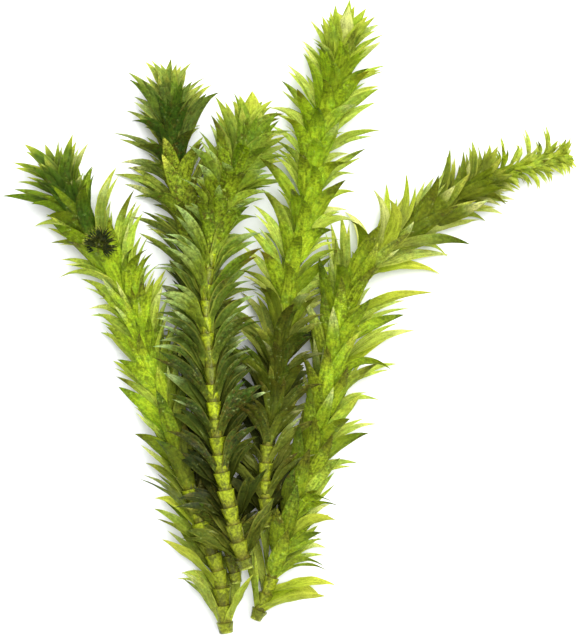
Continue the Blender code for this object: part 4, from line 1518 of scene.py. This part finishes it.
def wet_stem(name):
    """A soft wet stem: fine ridges along it and dark olive stains, on the colours of its segments."""
    finish = Finish(name)
    side, top, along = map(finish.mark, ("side", "top", "along"))
    around = finish.vector(side * RIDGES_ROUND, top * RIDGES_ROUND, along * RIDGES_ALONG)
    ridges = finish.noise(around, *STEM_RIDGES)
    place = finish.place()
    stains = finish.noise(place, *STEM_STAINS)
    fine = finish.noise(place, *STEM_SPECKS)
    shade = 0.5 + 0.45 * ridges + 0.7 * finish.ramp(fine, *ROUGH_FADE)
    colour = finish.brightened(finish.mark("stem_colour", "Color"), shade)
    stained = finish.ramp(stains, *STEM_STAIN_FADE)
    colour = finish.mix(STEM_STAIN_SHARE * stained, colour, DEEP_OLIVE)
    uneven = 0.4 + 0.2 * (stains - 0.5)
    normal = finish.bump(ridges + 0.3 * fine, STEM_BUMP)
    return finish.done(finish.wet_skin(colour, uneven, 0.3 * fine, normal, STEM_IOR, STEM_GLOSS))


def in_scene(name, data):
    """A new object of a mesh, lamp or camera, put in the scene."""
    made = bpy.data.objects.new(name, data)
    bpy.context.scene.collection.objects.link(made)
    return made


def piece_from(bm, name, shift, material, slot, sharp_angle):
    """A finished piece: in metres, where the frame has it, shaded smooth except at its sharp edges."""
    bmesh.ops.transform(bm, matrix=Matrix.Scale(MM, 4) @ Matrix.Translation(shift), verts=bm.verts)
    mesh = mesh_from(bm, name)
    mesh.materials.append(material)
    mesh.shade_smooth()
    mesh.set_sharp_from_angle(angle=math.radians(sharp_angle))
    piece = in_scene(name, mesh)
    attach(piece, "root")
    return piece


def shift_to_frame(stems):
    """The way from the routes' origin to the frame's, which is the middle of the base of all the solids."""
    corners = [corner for stem in stems for leaf in stem.leaves() for corner in leaf.corners]
    step = math.tau / LEAVES_A_WHORL
    for stem in stems:
        corners += [stem.rim(0, stem.first_azimuth + step * corner) for corner in range(LEAVES_A_WHORL)]
    low, high = (
        Vector(furthest(corner[axis] for corner in corners) for axis in range(3))
        for furthest in (min, max)
    )
    return Vector((-(low.x + high.x) / 2, -(low.y + high.y) / 2, -low.z))


def build_bunch():
    stems = [Stem(name, values) for name, values in STEMS.items()]
    place_leaves(stems)
    shift = shift_to_frame(stems)
    template = blade_template()
    leaf_finishes = {
        slot: wet_leaf(slot.replace("leaf", "wet_leaf"), *values)
        for slot, values in LEAF_FINISHES.items()
    }
    stem_finish = wet_stem("wet_stem")
    for stem in stems:
        slot = SLOTS[stem.name]
        leaves = leaves_mesh(stem, template)
        blades = piece_from(
            leaves, f"{stem.name}_leaves", shift, leaf_finishes[slot], slot, LEAF_SHARP_ANGLE,
        )
        piece_from(stem_mesh(stem), f"{stem.name}_axis", shift, stem_finish, slot, STEM_SHARP_ANGLE)
        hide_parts(stem.name)
    bpy.data.meshes.remove(template)
    return shift


def build_floor():
    bm = bmesh.new()
    bmesh.ops.create_grid(bm, x_segments=1, y_segments=1, size=FLOOR_HALF)
    paper = Finish("white_paper")
    sockets = {
        "Base Color": (*PAPER_WHITE, 1), "Roughness": PAPER_ROUGHNESS, "Specular IOR Level": PAPER_GLOSS,
    }
    floor = in_scene("floor", mesh_from(bm, "floor"))
    floor.data.materials.append(paper.done(paper.add("ShaderNodeBsdfPrincipled", {}, sockets, "BSDF")))


def build_light():
    """A large soft lamp that faces the bunch, in a pale room."""
    lamp = bpy.data.lights.new("soft_light", "AREA")
    lamp.size = LIGHT_SIZE
    lamp.energy = LIGHT_POWER
    light = in_scene("soft_light", lamp)
    light.location = LIGHT_PLACE
    light.rotation_euler = Vector((0, 0, 1)).rotation_difference(Vector(LIGHT_PLACE)).to_euler()
    room = bpy.data.worlds.new("pale_room")
    room.use_nodes = True
    background = room.node_tree.nodes["Background"]
    background.inputs["Color"].default_value = (1, 1, 1, 1)
    background.inputs["Strength"].default_value = ROOM_LIGHT
    bpy.context.scene.world = room


def build_camera(shift):
    """A camera straight above the bunch, with the photograph's frame."""
    lens = bpy.data.cameras.new("camera")
    lens.lens = CAMERA_LENS
    lens.sensor_width = CAMERA_SENSOR
    camera = in_scene("camera", lens)
    height = PHOTO_HIGH * PHOTO_MM_A_PIXEL * MM * CAMERA_LENS / CAMERA_SENSOR
    half_pixel = PHOTO_MM_A_PIXEL / 2
    camera.location = ((shift.x + half_pixel) * MM, shift.y * MM, height + CAMERA_LEVEL)
    bpy.context.scene.camera = camera
    bpy.context.scene.view_settings.view_transform = "Standard"


bunch_shift = build_bunch()
build_floor()
build_light()
build_camera(bunch_shift)
